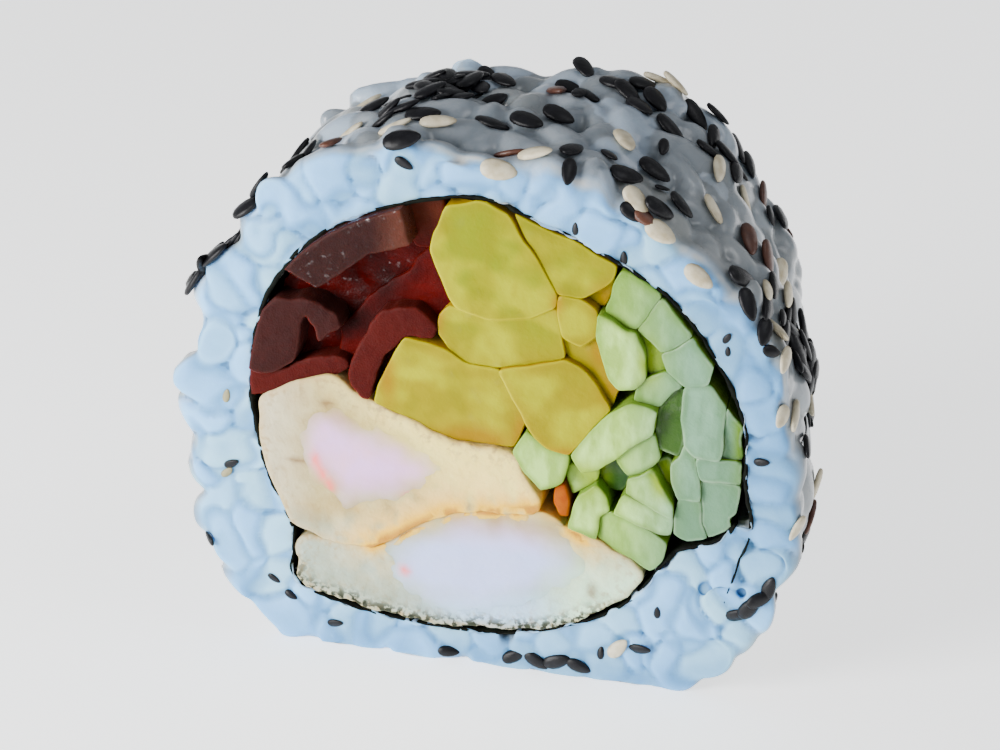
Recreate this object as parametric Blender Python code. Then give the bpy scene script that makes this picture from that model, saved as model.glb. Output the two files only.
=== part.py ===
# One slice of an inside-out roll: sushi rice outside, with sesame, round a nori sheet
# that holds tempura shrimp, pickled radish, cucumber and simmered gourd strips.
#
# The roll lies on its side, as sliced. Its axis runs along Y, the cut face that shows
# looks along -Y, X is to the right and Z is up. The origin is on the table, under the roll.
# Sections are drawn in millimetres on the cut face, as (x, z) from the roll's middle,
# and every object is built in metres.
import math
import random

import bmesh
import bpy
import numpy as np

MM = 0.001

# Driving sizes, in millimetres
THICKNESS = 23.0
MIDDLE_HEIGHT = 24.5
GAP = 0.36
NORI_THICKNESS = 0.5
LEAN = 4.0
LEAN_START = -10.0
LEAN_END = 27.0
END_BEVEL = 0.3
GRAIN_LENGTH = 6.4
GRAIN_WIDTH = 3.1
GRAIN_RELIEF = 0.85
SEED_LENGTH = 3.3
SEED_WIDTH = 1.9
SEED_DEPTH = 1.0

FRONT = -THICKNESS / 2
BACK = THICKNESS / 2

# The rice's outer outline, seen from the front, from the right-hand side round by the top
RICE_OUTLINE = [
    (27.0, 0.5), (26.2, 6.0), (24.0, 11.3), (19.8, 16.0), (13.5, 20.3), (6.0, 23.0),
    (-1.5, 24.2), (-9.0, 24.2), (-15.5, 21.5), (-20.3, 17.2), (-23.5, 11.3), (-25.6, 4.5),
    (-27.3, -3.0), (-26.4, -10.0), (-23.9, -16.5), (-20.3, -21.8), (-13.0, -24.4),
    (0.0, -24.9), (12.5, -25.0), (19.9, -22.2), (24.3, -17.8), (26.7, -12.0), (27.5, -6.0),
]

# The nori sheet's route, from its tail in the rice round to its inner end under the cucumber
NORI_ROUTE = [
    (21.4, -15.2), (22.6, -11.2), (23.6, -7.6), (23.0, -2.5), (22.8, 2.2), (20.4, 7.6),
    (16.3, 12.9), (11.5, 15.9), (4.5, 18.9), (-0.7, 20.4), (-8.2, 18.9), (-15.0, 15.3),
    (-19.4, 10.0), (-21.4, 3.4), (-21.5, -1.5), (-20.3, -7.5), (-18.0, -13.3),
    (-17.5, -18.7), (-9.0, -20.9), (1.0, -21.1), (8.6, -18.9), (12.8, -16.3),
    (14.8, -13.7), (17.0, -10.8), (20.5, -9.3), (22.2, -7.4),
]
NORI_SHEET_START = 2

# Gourd strips: route, half thickness at each of its points, and how far each end
# stands out of its cut face (front, back)
KANPYO = {
    "kanpyo_1": ([(-16.7, 11.1), (-14.6, 12.7), (-11.9, 14.6), (-9.3, 16.1), (-7.4, 16.3)],
                 [1.1, 1.3, 1.4, 1.5, 1.4], (1.0, 0.3)),
    "kanpyo_2": ([(-6.0, 14.9), (-5.7, 16.4), (-5.1, 18.0)], [0.6, 0.6, 0.6], (-1.6, 0.2)),
    "kanpyo_3": ([(-19.1, 3.0), (-19.0, 5.2), (-18.3, 7.5), (-16.5, 8.0), (-14.9, 7.3), (-15.0, 6.1)],
                 [1.5, 1.45, 1.15, 0.95, 0.9, 0.6], (0.5, -0.4)),
    "kanpyo_4": ([(-20.3, 0.5), (-18.2, 1.6), (-15.8, 2.9), (-13.6, 3.4)],
                 [0.5, 0.6, 0.65, 0.6], (0.1, 0.4)),
    "kanpyo_5": ([(-11.4, 1.4), (-11.2, 3.4), (-10.2, 5.9), (-8.7, 7.9), (-6.9, 8.6), (-5.8, 8.1)],
                 [0.9, 1.15, 1.2, 1.15, 1.1, 0.8], (0.5, 0.1)),
    "kanpyo_6": ([(-11.6, 10.3), (-9.2, 11.9), (-6.9, 12.3), (-5.2, 11.8)],
                 [1.3, 1.6, 1.7, 1.1], (-2.8, 0.5)),
    "kanpyo_7": ([(-13.2, 5.0), (-12.6, 7.0), (-13.0, 9.0)], [0.85, 0.8, 0.7], (-4.0, -2.0)),
}

# Pickled radish sticks: corners, and how far each end stands out (front, back)
TAKUAN = {
    "takuan_1": ([(-3.5, 19.0), (-0.4, 19.7), (1.9, 18.9), (4.8, 15.2), (6.3, 12.3), (6.2, 11.2),
                  (4.0, 9.9), (0.3, 9.3), (-2.6, 10.1), (-3.3, 11.0), (-5.0, 15.3), (-4.6, 16.9)],
                 (0.6, 0.4)),
    "takuan_2": ([(2.3, 18.8), (7.0, 17.0), (11.2, 15.1), (11.2, 14.2), (8.4, 12.2), (6.3, 12.3),
                  (4.8, 15.2)], (-0.2, 0.7)),
    "takuan_3": ([(-4.3, 9.2), (-3.4, 10.2), (-2.6, 10.1), (0.3, 9.3), (4.0, 9.9), (6.2, 11.2),
                  (6.7, 8.4), (7.1, 6.5), (4.0, 5.6), (1.2, 4.9), (-1.6, 4.9), (-3.4, 6.1),
                  (-4.3, 7.4)], (0.0, -0.4)),
    "takuan_4": ([(6.3, 12.3), (8.4, 12.2), (9.9, 11.4), (9.9, 8.9), (8.4, 7.7), (6.7, 8.4),
                  (6.2, 11.2)], (0.2, 0.1)),
    "takuan_5": ([(-7.2, 6.9), (-5.0, 6.6), (-3.4, 6.1), (-1.6, 4.9), (1.2, 4.9), (2.0, 3.3),
                  (3.6, 0.1), (2.5, -2.6), (-2.8, -2.6), (-5.2, -1.8), (-10.2, 0.2), (-9.7, 2.0),
                  (-8.2, 5.4)], (0.3, 0.2)),
    "takuan_6": ([(1.2, 4.9), (4.0, 5.6), (7.1, 6.5), (8.6, 5.8), (9.9, 4.3), (11.1, 2.1),
                  (9.4, 0.1), (7.5, -2.6), (5.4, -2.2), (4.4, -1.2), (3.6, 0.1), (2.0, 3.3)],
                 (0.8, -0.2)),
    "takuan_7": ([(7.1, 6.5), (6.7, 8.4), (8.4, 7.7), (9.9, 8.9), (10.3, 7.7), (10.9, 5.3),
                  (11.8, 4.2), (11.1, 2.1), (9.9, 4.3), (8.6, 5.8)], (-1.4, 0.5)),
    "takuan_8": ([(8.4, 12.2), (11.2, 14.2), (10.9, 12.7), (10.4, 11.3), (9.9, 11.4)], (-2.4, 0.0)),
}

# Cucumber sticks, laid out in the same way
CUCUMBER = {
    "cucumber_01": ([(11.5, 15.0), (14.3, 13.9), (15.0, 12.9), (14.3, 11.3), (13.3, 9.9), (12.6, 9.9),
                     (10.4, 11.3), (10.9, 12.7), (11.2, 14.2)], (0.0, 0.5)),
    "cucumber_02": ([(10.4, 11.3), (12.6, 9.9), (13.3, 9.9), (14.1, 7.4), (14.2, 5.6), (13.3, 4.5),
                     (11.8, 4.2), (10.9, 5.3), (10.3, 7.7), (9.9, 8.9), (9.9, 11.4)], (0.7, 0.0)),
    "cucumber_03": ([(15.0, 12.9), (17.8, 9.8), (16.9, 8.8), (15.5, 8.1), (13.3, 9.9), (14.3, 11.3)],
                    (0.1, 0.3)),
    "cucumber_04": ([(17.8, 9.8), (19.5, 7.2), (19.5, 5.6), (17.5, 5.1), (15.9, 6.4), (15.5, 8.1),
                     (16.9, 8.8)], (0.3, -0.2)),
    "cucumber_05": ([(17.5, 5.1), (19.5, 5.6), (20.9, 3.6), (21.0, 0.5), (20.8, -1.3), (18.6, -1.3),
                     (17.6, -0.2), (17.3, 2.4), (17.4, 4.8)], (0.2, 0.4)),
    "cucumber_06": ([(20.9, 3.6), (22.1, 1.8), (22.1, -1.3), (20.8, -1.3), (21.0, 0.5)], (-0.3, 0.2)),
    "cucumber_07": ([(18.6, -1.3), (22.1, -1.3), (22.1, -3.5), (19.1, -3.5)], (0.2, -0.3)),
    "cucumber_08": ([(19.1, -3.5), (22.1, -3.5), (22.1, -6.2), (21.1, -7.7), (19.4, -8.8), (19.2, -5.4)],
                    (-0.1, 0.4)),
    "cucumber_09": ([(17.1, -1.6), (17.6, -0.2), (18.6, -1.3), (19.1, -3.5), (19.2, -5.4), (17.1, -5.5),
                     (16.6, -4.0), (16.5, -2.2)], (0.3, 0.1)),
    "cucumber_10": ([(17.1, -5.5), (19.2, -5.4), (19.4, -8.8), (17.7, -9.4), (16.8, -9.0), (16.8, -7.4)],
                    (0.0, 0.3)),
    "cucumber_11": ([(16.6, 4.6), (17.4, 4.8), (17.3, 2.4), (17.6, -0.2), (17.1, -1.6), (15.4, -1.1),
                     (14.9, 0.6), (15.3, 2.8)], (-0.6, 0.2)),
    "cucumber_12": ([(7.5, -2.6), (9.4, 0.1), (11.1, 2.1), (13.0, 3.2), (15.3, 2.8), (14.9, 0.6),
                     (13.1, -0.9), (11.5, -2.4), (10.0, -3.6), (8.6, -4.1)], (0.6, 0.3)),
    "cucumber_13": ([(13.3, 9.9), (15.5, 8.1), (15.9, 6.4), (14.2, 5.6), (14.1, 7.4)], (-0.9, 0.2)),
    "cucumber_14": ([(11.5, -2.4), (13.1, -0.9), (14.9, 0.6), (15.4, -1.1), (15.6, -1.8), (14.9, -2.8),
                     (13.8, -3.6), (12.6, -4.0)], (0.1, -0.2)),
    "cucumber_15": ([(12.6, -4.0), (13.8, -3.6), (14.9, -2.8), (15.8, -4.5), (16.7, -6.0), (16.8, -7.4),
                     (14.8, -6.6), (12.5, -5.4)], (0.6, 0.4)),
    "cucumber_16": ([(12.5, -5.4), (14.8, -6.6), (16.8, -7.4), (16.6, -9.1), (15.2, -9.1), (13.2, -8.3),
                     (11.5, -7.5), (12.0, -6.1)], (0.4, 0.0)),
    "cucumber_17": ([(11.2, -7.6), (13.2, -8.3), (15.2, -9.1), (16.1, -9.6), (15.4, -11.2), (14.4, -12.5),
                     (11.8, -11.5), (10.0, -10.4), (10.2, -8.2)], (0.0, 0.3)),
    "cucumber_18": ([(7.5, -8.8), (8.2, -6.4), (9.9, -5.1), (10.7, -6.1), (11.2, -7.6), (10.2, -8.2),
                     (10.0, -10.4), (8.2, -9.9), (7.4, -9.6)], (0.2, 0.5)),
    "cucumber_19": ([(2.6, -2.5), (3.7, -0.6), (4.4, -1.2), (5.4, -2.2), (7.4, -2.6), (7.4, -3.8),
                     (7.0, -5.3), (5.9, -6.0), (4.7, -6.2), (3.4, -4.6)], (0.3, -0.3)),
    "cucumber_20": ([(10.0, -3.6), (11.5, -2.4), (12.6, -4.0), (12.5, -5.4), (12.0, -6.1), (10.7, -6.1),
                     (9.9, -5.1)], (-1.8, 0.1)),
    "cucumber_21": ([(7.4, -3.8), (8.6, -4.1), (10.0, -3.6), (9.9, -5.1), (8.2, -6.4), (7.5, -7.0),
                     (7.0, -5.3)], (-1.4, 0.3)),
    "cucumber_22": ([(14.9, -2.8), (15.9, -2.1), (16.5, -2.4), (16.6, -4.0), (17.0, -5.5), (16.7, -6.0),
                     (15.8, -4.5)], (-1.7, -0.5)),
    "cucumber_23": ([(14.2, 5.6), (15.9, 6.4), (17.4, 5.0), (16.6, 4.6), (15.3, 2.8), (13.0, 3.2),
                     (13.3, 4.5)], (-0.2, 0.4)),
}
CARROT = ([(6.0, -6.2), (6.9, -5.6), (7.4, -7.2), (7.3, -8.9), (6.5, -8.9), (5.9, -7.6)], (-0.5, 0.1))

# Tempura: the batter coat's outline, the shrimp's outline inside it, and how far
# the coat's and the shrimp's ends stand out (front, back)
TEMPURA = {
    "left": ([(-19.7, 0.0), (-16.2, 1.6), (-13.4, 2.1), (-11.4, 0.5), (-7.6, -0.9), (-2.8, -2.75),
              (2.3, -2.95), (4.9, -6.8), (4.2, -8.75), (-1.5, -9.1), (-6.5, -11.4), (-10.3, -13.8),
              (-15.0, -13.6), (-18.4, -11.2), (-19.9, -6.0), (-20.3, -2.4)],
             [(-14.6, -1.9), (-11.5, -1.4), (-8.0, -2.9), (-5.6, -5.2), (-6.2, -7.3), (-9.3, -9.1),
              (-12.3, -10.2), (-14.4, -8.2), (-15.4, -4.8)], (0.3, 0.2), (0.7, 0.5)),
    "bottom": ([(-16.9, -14.0), (-15.0, -13.9), (-10.3, -14.1), (-6.5, -11.7), (-1.5, -9.4),
                (4.3, -9.0), (7.0, -9.8), (10.0, -10.7), (11.8, -11.8), (13.9, -13.1), (12.1, -15.2),
                (8.6, -17.6), (4.5, -19.4), (-4.0, -20.3), (-12.5, -19.4), (-16.7, -18.2),
                (-17.2, -16.2)],
               [(-7.0, -14.6), (-3.8, -12.2), (1.0, -10.7), (5.2, -11.0), (7.5, -13.2), (7.3, -16.0),
                (3.5, -17.8), (-2.0, -18.3), (-6.0, -17.4)], (0.0, 0.3), (0.3, 0.5)),
}

COLOURS = {
    "rice": ((0.70, 0.77, 0.86), 0.45),
    "nori": ((0.010, 0.014, 0.010), 0.6),
    "kanpyo": ((0.12, 0.022, 0.018), 0.25),
    "takuan": ((0.75, 0.62, 0.01), 0.25),
    "cucumber": ((0.52, 0.66, 0.40), 0.25),
    "carrot": ((0.70, 0.16, 0.01), 0.3),
    "batter": ((0.80, 0.68, 0.50), 0.55),
    "shrimp": ((0.76, 0.70, 0.80), 0.3),
}

RING_COUNT = 100
FACE_STEPS = 3
EDGE_STEPS = 3
SIDE_STEPS = 8
EDGE_ROUND = 2.2
BARREL = 0.5
BACK_SWELLS = [(57.0, 21.0, 2.7), (114.0, 24.0, -1.3)]
TABLE = -MIDDLE_HEIGHT
TAIL_CLEARANCE = 0.15

SEED_COUNT = 98
SEED_CLEAR_OF_TABLE = 1.4
SEED_SINK = 0.12


def clear_scene():
    for obj in list(bpy.data.objects):
        bpy.data.objects.remove(obj)


def material(kind):
    """The finish of one kind of food, made once."""
    found = bpy.data.materials.get(kind)
    if found:
        return found
    colour, roughness = COLOURS[kind]
    made = bpy.data.materials.new(kind)
    made.use_nodes = True
    shader = made.node_tree.nodes["Principled BSDF"]
    shader.inputs["Base Color"].default_value = (*colour, 1.0)
    shader.inputs["Roughness"].default_value = roughness
    shader.inputs["Metallic"].default_value = 0.0
    made.diffuse_color = (*colour, 1.0)
    return made


def spline_point(a, b, c, d, t):
    """The point at t on the Catmull-Rom span from b to c."""
    return tuple(
        0.5 * (2 * q + (r - p) * t + (2 * p - 5 * q + 4 * r - s) * t * t
               + (3 * q - p - 3 * r + s) * t * t * t)
        for p, q, r, s in zip(a, b, c, d)
    )


def smooth_loop(points, per_span):
    """A closed smooth curve through the points."""
    count = len(points)
    return [
        spline_point(points[i - 1], points[i], points[(i + 1) % count], points[(i + 2) % count], k / per_span)
        for i in range(count)
        for k in range(per_span)
    ]


def smooth_path(points, per_span):
    """An open smooth curve through the points."""
    ends = [points[0], *points, points[-1]]
    made = [
        spline_point(*ends[i:i + 4], k / per_span)
        for i in range(len(points) - 1)
        for k in range(per_span)
    ]
    return [*made, points[-1]]


def signed_area(loop):
    return sum(a[0] * b[1] - b[0] * a[1] for a, b in zip(loop, loop[1:] + loop[:1])) / 2


def inset(loop, distance):
    """The loop drawn in by a distance, with its corners kept."""
    turn = 1 if signed_area(loop) > 0 else -1
    made = []
    for before, here, after in zip(loop[-1:] + loop[:-1], loop, loop[1:] + loop[:1]):
        first = np.subtract(here, before)
        second = np.subtract(after, here)
        first = first / np.linalg.norm(first)
        second = second / np.linalg.norm(second)
        inward = np.array([-(first[1] + second[1]), first[0] + second[0]]) * turn
        reach = max(1.0 + float(first @ second), 0.35)
        made.append(tuple(np.array(here) + inward * distance / reach))
    return made


def round_corners(loop, share=0.28):
    """Each corner cut back along both of its edges, as a knife-cut stick wears."""
    made = []
    for before, here, after in zip(loop[-1:] + loop[:-1], loop, loop[1:] + loop[:1]):
        turned = abs(math.atan2(*reversed(cross_and_dot(before, here, after))))
        if turned < math.radians(25):
            made.append(here)
            continue
        for other in (before, after):
            made.append(tuple(h + (o - h) * share for h, o in zip(here, other)))
    return made


def cross_and_dot(before, here, after):
    """How far a path turns at here: its cosine part and its sine part."""
    ax, az = here[0] - before[0], here[1] - before[1]
    bx, bz = after[0] - here[0], after[1] - here[1]
    return ax * bx + az * bz, ax * bz - az * bx


def band_outline(route, halves, per_span=2):
    """The outline of a strip that follows a route, with the half thickness given at each point."""
    line = smooth_path(route, per_span)
    widths = np.interp(np.linspace(0, 1, len(line)), np.linspace(0, 1, len(halves)), halves)
    left, right = [], []
    for i, (here, half) in enumerate(zip(line, widths)):
        before, after = line[max(i - 1, 0)], line[min(i + 1, len(line) - 1)]
        along = np.subtract(after, before)
        along = along / np.linalg.norm(along)
        side = np.array([-along[1], along[0]]) * half
        left.append(tuple(np.array(here) + side))
        right.append(tuple(np.array(here) - side))
    return left + right[::-1]


def lean_x(x, y):
    """The slice's right-hand side draws in towards the back."""
    share = min(max((x - LEAN_START) / (LEAN_END - LEAN_START), 0.0), 1.2)
    return x - LEAN * share * share * (y - FRONT) / THICKNESS


def place(x, y, z):
    """A point of the roll, in metres above the table."""
    return (lean_x(x, y) * MM, y * MM, (z + MIDDLE_HEIGHT) * MM)


def add_object(name, mesh, kind):
    obj = bpy.data.objects.new(name, mesh)
    bpy.context.scene.collection.objects.link(obj)
    if kind:
        mesh.materials.append(material(kind))
    return obj


def finish_mesh(bm, name):
    bmesh.ops.recalc_face_normals(bm, faces=bm.faces)
    mesh = bpy.data.meshes.new(name)
    bm.to_mesh(mesh)
    bm.free()
    return mesh


def prism(name, outline, front, back, kind, bevel=END_BEVEL):
    """A piece that runs through the roll: its section drawn out from front to back."""
    bm = bmesh.new()
    face = bm.faces.new([bm.verts.new((x, front, z)) for x, z in outline])
    drawn = bmesh.ops.extrude_face_region(bm, geom=[face])["geom"]
    moved = [v for v in drawn if isinstance(v, bmesh.types.BMVert)]
    bmesh.ops.translate(bm, verts=moved, vec=(0, back - front, 0))
    if bevel:
        rims = [e for e in bm.edges if e.verts[0].co.y == e.verts[1].co.y]
        bmesh.ops.bevel(bm, geom=rims, offset=bevel, segments=1, affect="EDGES", clamp_overlap=True)
    for vert in bm.verts:
        vert.co = place(*vert.co)
    return add_object(name, finish_mesh(bm, name), kind)


def ends(stands_out):
    """Where a piece starts and stops, from how far each end stands out of its cut face."""
    return FRONT - stands_out[0], BACK + stands_out[1]


def cut(obj, cutter):
    """Takes the cutter's shape out of the object."""
    cutter.hide_render = True
    cutter.display_type = "WIRE"
    modifier = obj.modifiers.new("cut_" + cutter.name, "BOOLEAN")
    modifier.operation = "DIFFERENCE"
    modifier.object = cutter


def apply_modifiers(obj):
    graph = bpy.context.evaluated_depsgraph_get()
    mesh = bpy.data.meshes.new_from_object(obj.evaluated_get(graph))
    obj.modifiers.clear()
    obj.data = mesh


class Grains:
    """Bumps of the size of rice grains over the ring's surface, in rows that are jittered."""

    def __init__(self, around, across, draw):
        self.around = around
        columns = round(around / (GRAIN_LENGTH * 0.72))
        rows = round(across / (GRAIN_WIDTH * 0.78))
        self.centres = np.array([
            ((i + draw.uniform(0.1, 0.9)) * around / columns, (j + draw.uniform(0.1, 0.9)) * across / rows,
             draw.uniform(0, math.pi), draw.uniform(0.65, 1.0))
            for i in range(columns)
            for j in range(rows)
        ])

    def height(self, s, p):
        """The relief at s around the ring and p across its surface, in millimetres."""
        ds = (s - self.centres[:, 0] + self.around / 2) % self.around - self.around / 2
        dp = p - self.centres[:, 1]
        turn = self.centres[:, 2]
        along = (ds * np.cos(turn) + dp * np.sin(turn)) / (GRAIN_LENGTH / 2)
        across = (dp * np.cos(turn) - ds * np.sin(turn)) / (GRAIN_WIDTH / 2)
        dome = np.sqrt(np.clip(1 - along * along - across * across, 0, None)) * self.centres[:, 3]
        return GRAIN_RELIEF * float(dome.max())


def radius_table(loop):
    """The loop's radius at each angle round the roll's middle, for looking up."""
    dense = np.array(smooth_loop(loop, 24))
    angles = np.degrees(np.arctan2(dense[:, 1], dense[:, 0])) % 360
    order = np.argsort(angles)
    return angles[order], np.hypot(dense[:, 0], dense[:, 1])[order]


def radius_at(table, angle):
    return float(np.interp(angle % 360, *table, period=360))


def nori_loop():
    """The closed loop that the rice is wrapped on: the sheet's outer face and the gap to it."""
    sheet = NORI_ROUTE[NORI_SHEET_START:]
    return inset(sheet, -(NORI_THICKNESS / 2 + GAP))


def ring_section(inner, outer, angle):
    """The rice's section at an angle, as points of radius and depth, with the way each one faces."""
    made = []
    low, high = EDGE_ROUND, THICKNESS - EDGE_ROUND
    for k in range(FACE_STEPS):
        made.append((inner + (outer - EDGE_ROUND - inner) * k / FACE_STEPS, 0.0, 0.0))
    for k in range(EDGE_STEPS):
        turn = math.radians(90 * k / EDGE_STEPS)
        made.append((outer - EDGE_ROUND * (1 - math.sin(turn)), EDGE_ROUND * (1 - math.cos(turn)), turn))
    for k in range(SIDE_STEPS + 1):
        depth = low + (high - low) * k / SIDE_STEPS
        made.append((outer + BARREL * math.sin(math.pi * k / SIDE_STEPS), depth, math.pi / 2))
    half = len(made) - (SIDE_STEPS + 1)
    made += [(r, THICKNESS - d, math.pi - turn) for r, d, turn in reversed(made[:half])]
    swell = sum(size * math.exp(-(((angle - middle) / spread) ** 2)) for middle, spread, size in BACK_SWELLS)
    return [(r + swell * (d / THICKNESS) * (r - inner) / (outer - inner), d, turn) for r, d, turn in made]


def ring_surface():
    """What the rice's surface follows: the two loops, and the grains laid over it."""
    outer = radius_table(RICE_OUTLINE)
    inner = radius_table(nori_loop())
    around = 2 * math.pi * float(outer[1].mean())
    across = THICKNESS + 2 * float(outer[1].mean() - inner[1].mean())
    return outer, inner, Grains(around, across, random.Random(11))


def surface_point(surface, angle, radius, depth, turn, run):
    """A point of the ring's bumpy surface, in millimetres on the slice."""
    grains = surface[2]
    raised = grains.height(angle / 360 * grains.around, run)
    radius += raised * math.sin(turn)
    y = FRONT + depth - raised * math.cos(turn)
    x = radius * math.cos(math.radians(angle))
    z = radius * math.sin(math.radians(angle))
    return x, y, max(z, TABLE)


def rice_ring():
    """The rice, a thick ring with grain-sized bumps, flat where it lies on the table."""
    surface = ring_surface()
    bm = bmesh.new()
    rings = []
    for i in range(RING_COUNT):
        angle = 360 * i / RING_COUNT
        section = ring_section(radius_at(surface[1], angle), radius_at(surface[0], angle), angle)
        ring, run = [], 0.0
        for k, (radius, depth, turn) in enumerate(section):
            if k:
                run += math.dist(section[k - 1][:2], (radius, depth))
            if k in (0, len(section) - 1):
                x = radius * math.cos(math.radians(angle))
                z = radius * math.sin(math.radians(angle))
                point = (x, FRONT + depth, z)
            else:
                point = surface_point(surface, angle, radius, depth, turn, run)
            ring.append(bm.verts.new(place(*point)))
        rings.append(ring)
    for here, after in zip(rings, rings[1:] + rings[:1]):
        for k in range(len(here)):
            m = (k + 1) % len(here)
            bm.faces.new((here[k], here[m], after[m], after[k]))
    return add_object("rice", finish_mesh(bm, "rice"), "rice"), surface


def seed_places(count):
    """Sesame lies in loose clusters all over the side: angle, depth, turn and size of each seed."""
    draw = random.Random(23)
    golden = (math.sqrt(5) - 1) / 2
    made, cluster = [], 0
    while len(made) < count:
        angle = 360 * ((cluster * golden) % 1)
        depth = 3.2 + (THICKNESS - 5.2) * ((cluster * 0.7548777) % 1)
        for _ in range(draw.choice((1, 2, 2, 3, 4))):
            made.append((angle + draw.gauss(0, 4.2), min(max(depth + draw.gauss(0, 1.9), 2.4), THICKNESS - 1.6),
                         draw.uniform(0, 2 * math.pi), draw.uniform(0.88, 1.1), draw.random()))
        cluster += 1
    return made[:count]


def seed_mesh():
    """A sesame seed: a flat drop, pointed at one end, lying in its own x and y."""
    stations = [(-0.16, 0.78, 0.9), (0.2, 0.86, 1.0)]
    bm = bmesh.new()
    tip = bm.verts.new((SEED_LENGTH * 0.55, 0, 0))
    tail = bm.verts.new((-SEED_LENGTH * 0.45, 0, 0))
    rings = []
    for at, wide, deep in stations:
        rings.append([
            bm.verts.new((-at * SEED_LENGTH, SEED_WIDTH / 2 * wide * math.cos(math.tau * k / 6),
                          SEED_DEPTH / 2 * deep * math.sin(math.tau * k / 6)))
            for k in range(6)
        ])
    for k in range(6):
        m = (k + 1) % 6
        bm.faces.new((tip, rings[0][k], rings[0][m]))
        bm.faces.new((rings[0][k], rings[1][k], rings[1][m], rings[0][m]))
        bm.faces.new((tail, rings[1][m], rings[1][k]))
    return finish_mesh(bm, "seed")


def side_frame(surface, angle, depth):
    """A point on the bumpy side, with the directions around it, along the roll and out of it."""
    section = ring_section(radius_at(surface[1], angle), radius_at(surface[0], angle), angle)
    side = section[FACE_STEPS + EDGE_STEPS:-(FACE_STEPS + EDGE_STEPS)]
    radius = float(np.interp(depth, [d for _, d, _ in side], [r for r, _, _ in side]))
    run = math.dist(section[0][:2], section[FACE_STEPS][:2]) + depth
    here = np.array(surface_point(surface, angle, radius, depth, math.pi / 2, run))
    step = 3.0
    sides = []
    for other in (angle - step, angle + step):
        loops = radius_at(surface[0], other)
        sides.append(np.array([math.cos(math.radians(other)), 0, math.sin(math.radians(other))]) * loops)
    around = sides[1] - sides[0]
    around = around / np.linalg.norm(around)
    along = np.array([0.0, 1.0, 0.0])
    return here, around, along, np.cross(along, around)


def fuse_seeds(rice, surface):
    """Presses the seeds into the rice's side, and joins them to it."""
    collection = bpy.data.collections.new("seeds")
    bpy.context.scene.collection.children.link(collection)
    mesh = seed_mesh()
    for angle, depth, turn, size, _ in seed_places(SEED_COUNT):
        here, around, along, out = side_frame(surface, angle, depth)
        if here[2] < TABLE + SEED_CLEAR_OF_TABLE:
            continue
        long_axis = around * math.cos(turn) + along * math.sin(turn)
        cross_axis = np.cross(out, long_axis)
        here = here - out * SEED_SINK
        seed = bpy.data.objects.new("seed", mesh.copy())
        for vert in seed.data.vertices:
            x, y, z = (c * size for c in vert.co)
            vert.co = place(*(here + long_axis * x + cross_axis * y + out * z))
        collection.objects.link(seed)
    modifier = rice.modifiers.new("fuse", "BOOLEAN")
    modifier.operation = "UNION"
    modifier.operand_type = "COLLECTION"
    modifier.collection = collection
    modifier.solver = "MANIFOLD"
    apply_modifiers(rice)
    for seed in list(collection.objects):
        bpy.data.objects.remove(seed)
    bpy.data.collections.remove(collection)


def keep_outer_shell(obj):
    """Fills what fusing sealed and drops loose scraps: only the shell with most faces stays."""
    bm = bmesh.new()
    bm.from_mesh(obj.data)
    left = set(bm.faces)
    shells = []
    while left:
        shell, edge = set(), [left.pop()]
        while edge:
            face = edge.pop()
            shell.add(face)
            for rim in face.edges:
                for other in rim.link_faces:
                    if other in left:
                        left.discard(other)
                        edge.append(other)
        shells.append(shell)
    shells.sort(key=len)
    loose = [face for shell in shells[:-1] for face in shell]
    bmesh.ops.delete(bm, geom=loose, context="FACES")
    bm.to_mesh(obj.data)
    bm.free()


def rice():
    made, surface = rice_ring()
    fuse_seeds(made, surface)
    width = NORI_THICKNESS / 2 + GAP * 0.85
    tail, after = NORI_ROUTE[:2]
    beyond = tuple(t + (t - a) * TAIL_CLEARANCE for t, a in zip(tail, after))
    route = [beyond, *NORI_ROUTE[1:]]
    outline = band_outline(route, [width] * len(route), 3)
    cutter = prism("nori_cutter", outline, FRONT - THICKNESS, BACK + THICKNESS, None, 0)
    cut(made, cutter)
    apply_modifiers(made)
    bpy.data.objects.remove(cutter)
    keep_outer_shell(made)


def nori():
    halves = [NORI_THICKNESS / 2] * len(NORI_ROUTE)
    prism("nori", band_outline(NORI_ROUTE, halves, 3), FRONT + 0.1, BACK - 0.1, "nori", 0)


def sticks(table, kind):
    for name, (corners, stands_out) in table.items():
        outline = round_corners(inset(corners, GAP / 2))
        prism(name, outline, *ends(stands_out), kind)


def kanpyo():
    for name, (route, halves, stands_out) in KANPYO.items():
        prism(name, band_outline(route, halves), *ends(stands_out), "kanpyo")


def tempura():
    for side, (coat, shrimp, coat_ends, shrimp_ends) in TEMPURA.items():
        outline = inset(smooth_loop(coat, 2), GAP / 2)
        batter = prism("batter_" + side, outline, *ends(coat_ends), "batter")
        meat = smooth_loop(shrimp, 2)
        cutter = prism("hole_" + side, meat, FRONT - THICKNESS, BACK + THICKNESS, None, 0)
        cut(batter, cutter)
        apply_modifiers(batter)
        bpy.data.objects.remove(cutter)
        prism("shrimp_" + side, inset(meat, GAP), *ends(shrimp_ends), "shrimp")


def settle():
    """Moves every piece so that the origin lies under the middle of the whole."""
    graph = bpy.context.evaluated_depsgraph_get()
    graph.update()
    corners = np.array([v.co for obj in bpy.data.objects for v in obj.evaluated_get(graph).data.vertices])
    low, high = corners.min(axis=0), corners.max(axis=0)
    shift = np.array([(low[0] + high[0]) / 2, (low[1] + high[1]) / 2, low[2]])
    for obj in bpy.data.objects:
        for vert in obj.data.vertices:
            vert.co = np.array(vert.co) - shift


def main():
    clear_scene()
    rice()
    nori()
    kanpyo()
    sticks(TAKUAN, "takuan")
    sticks(CUCUMBER, "cucumber")
    sticks({"carrot": CARROT}, "carrot")
    tempura()
    settle()


main()
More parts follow.
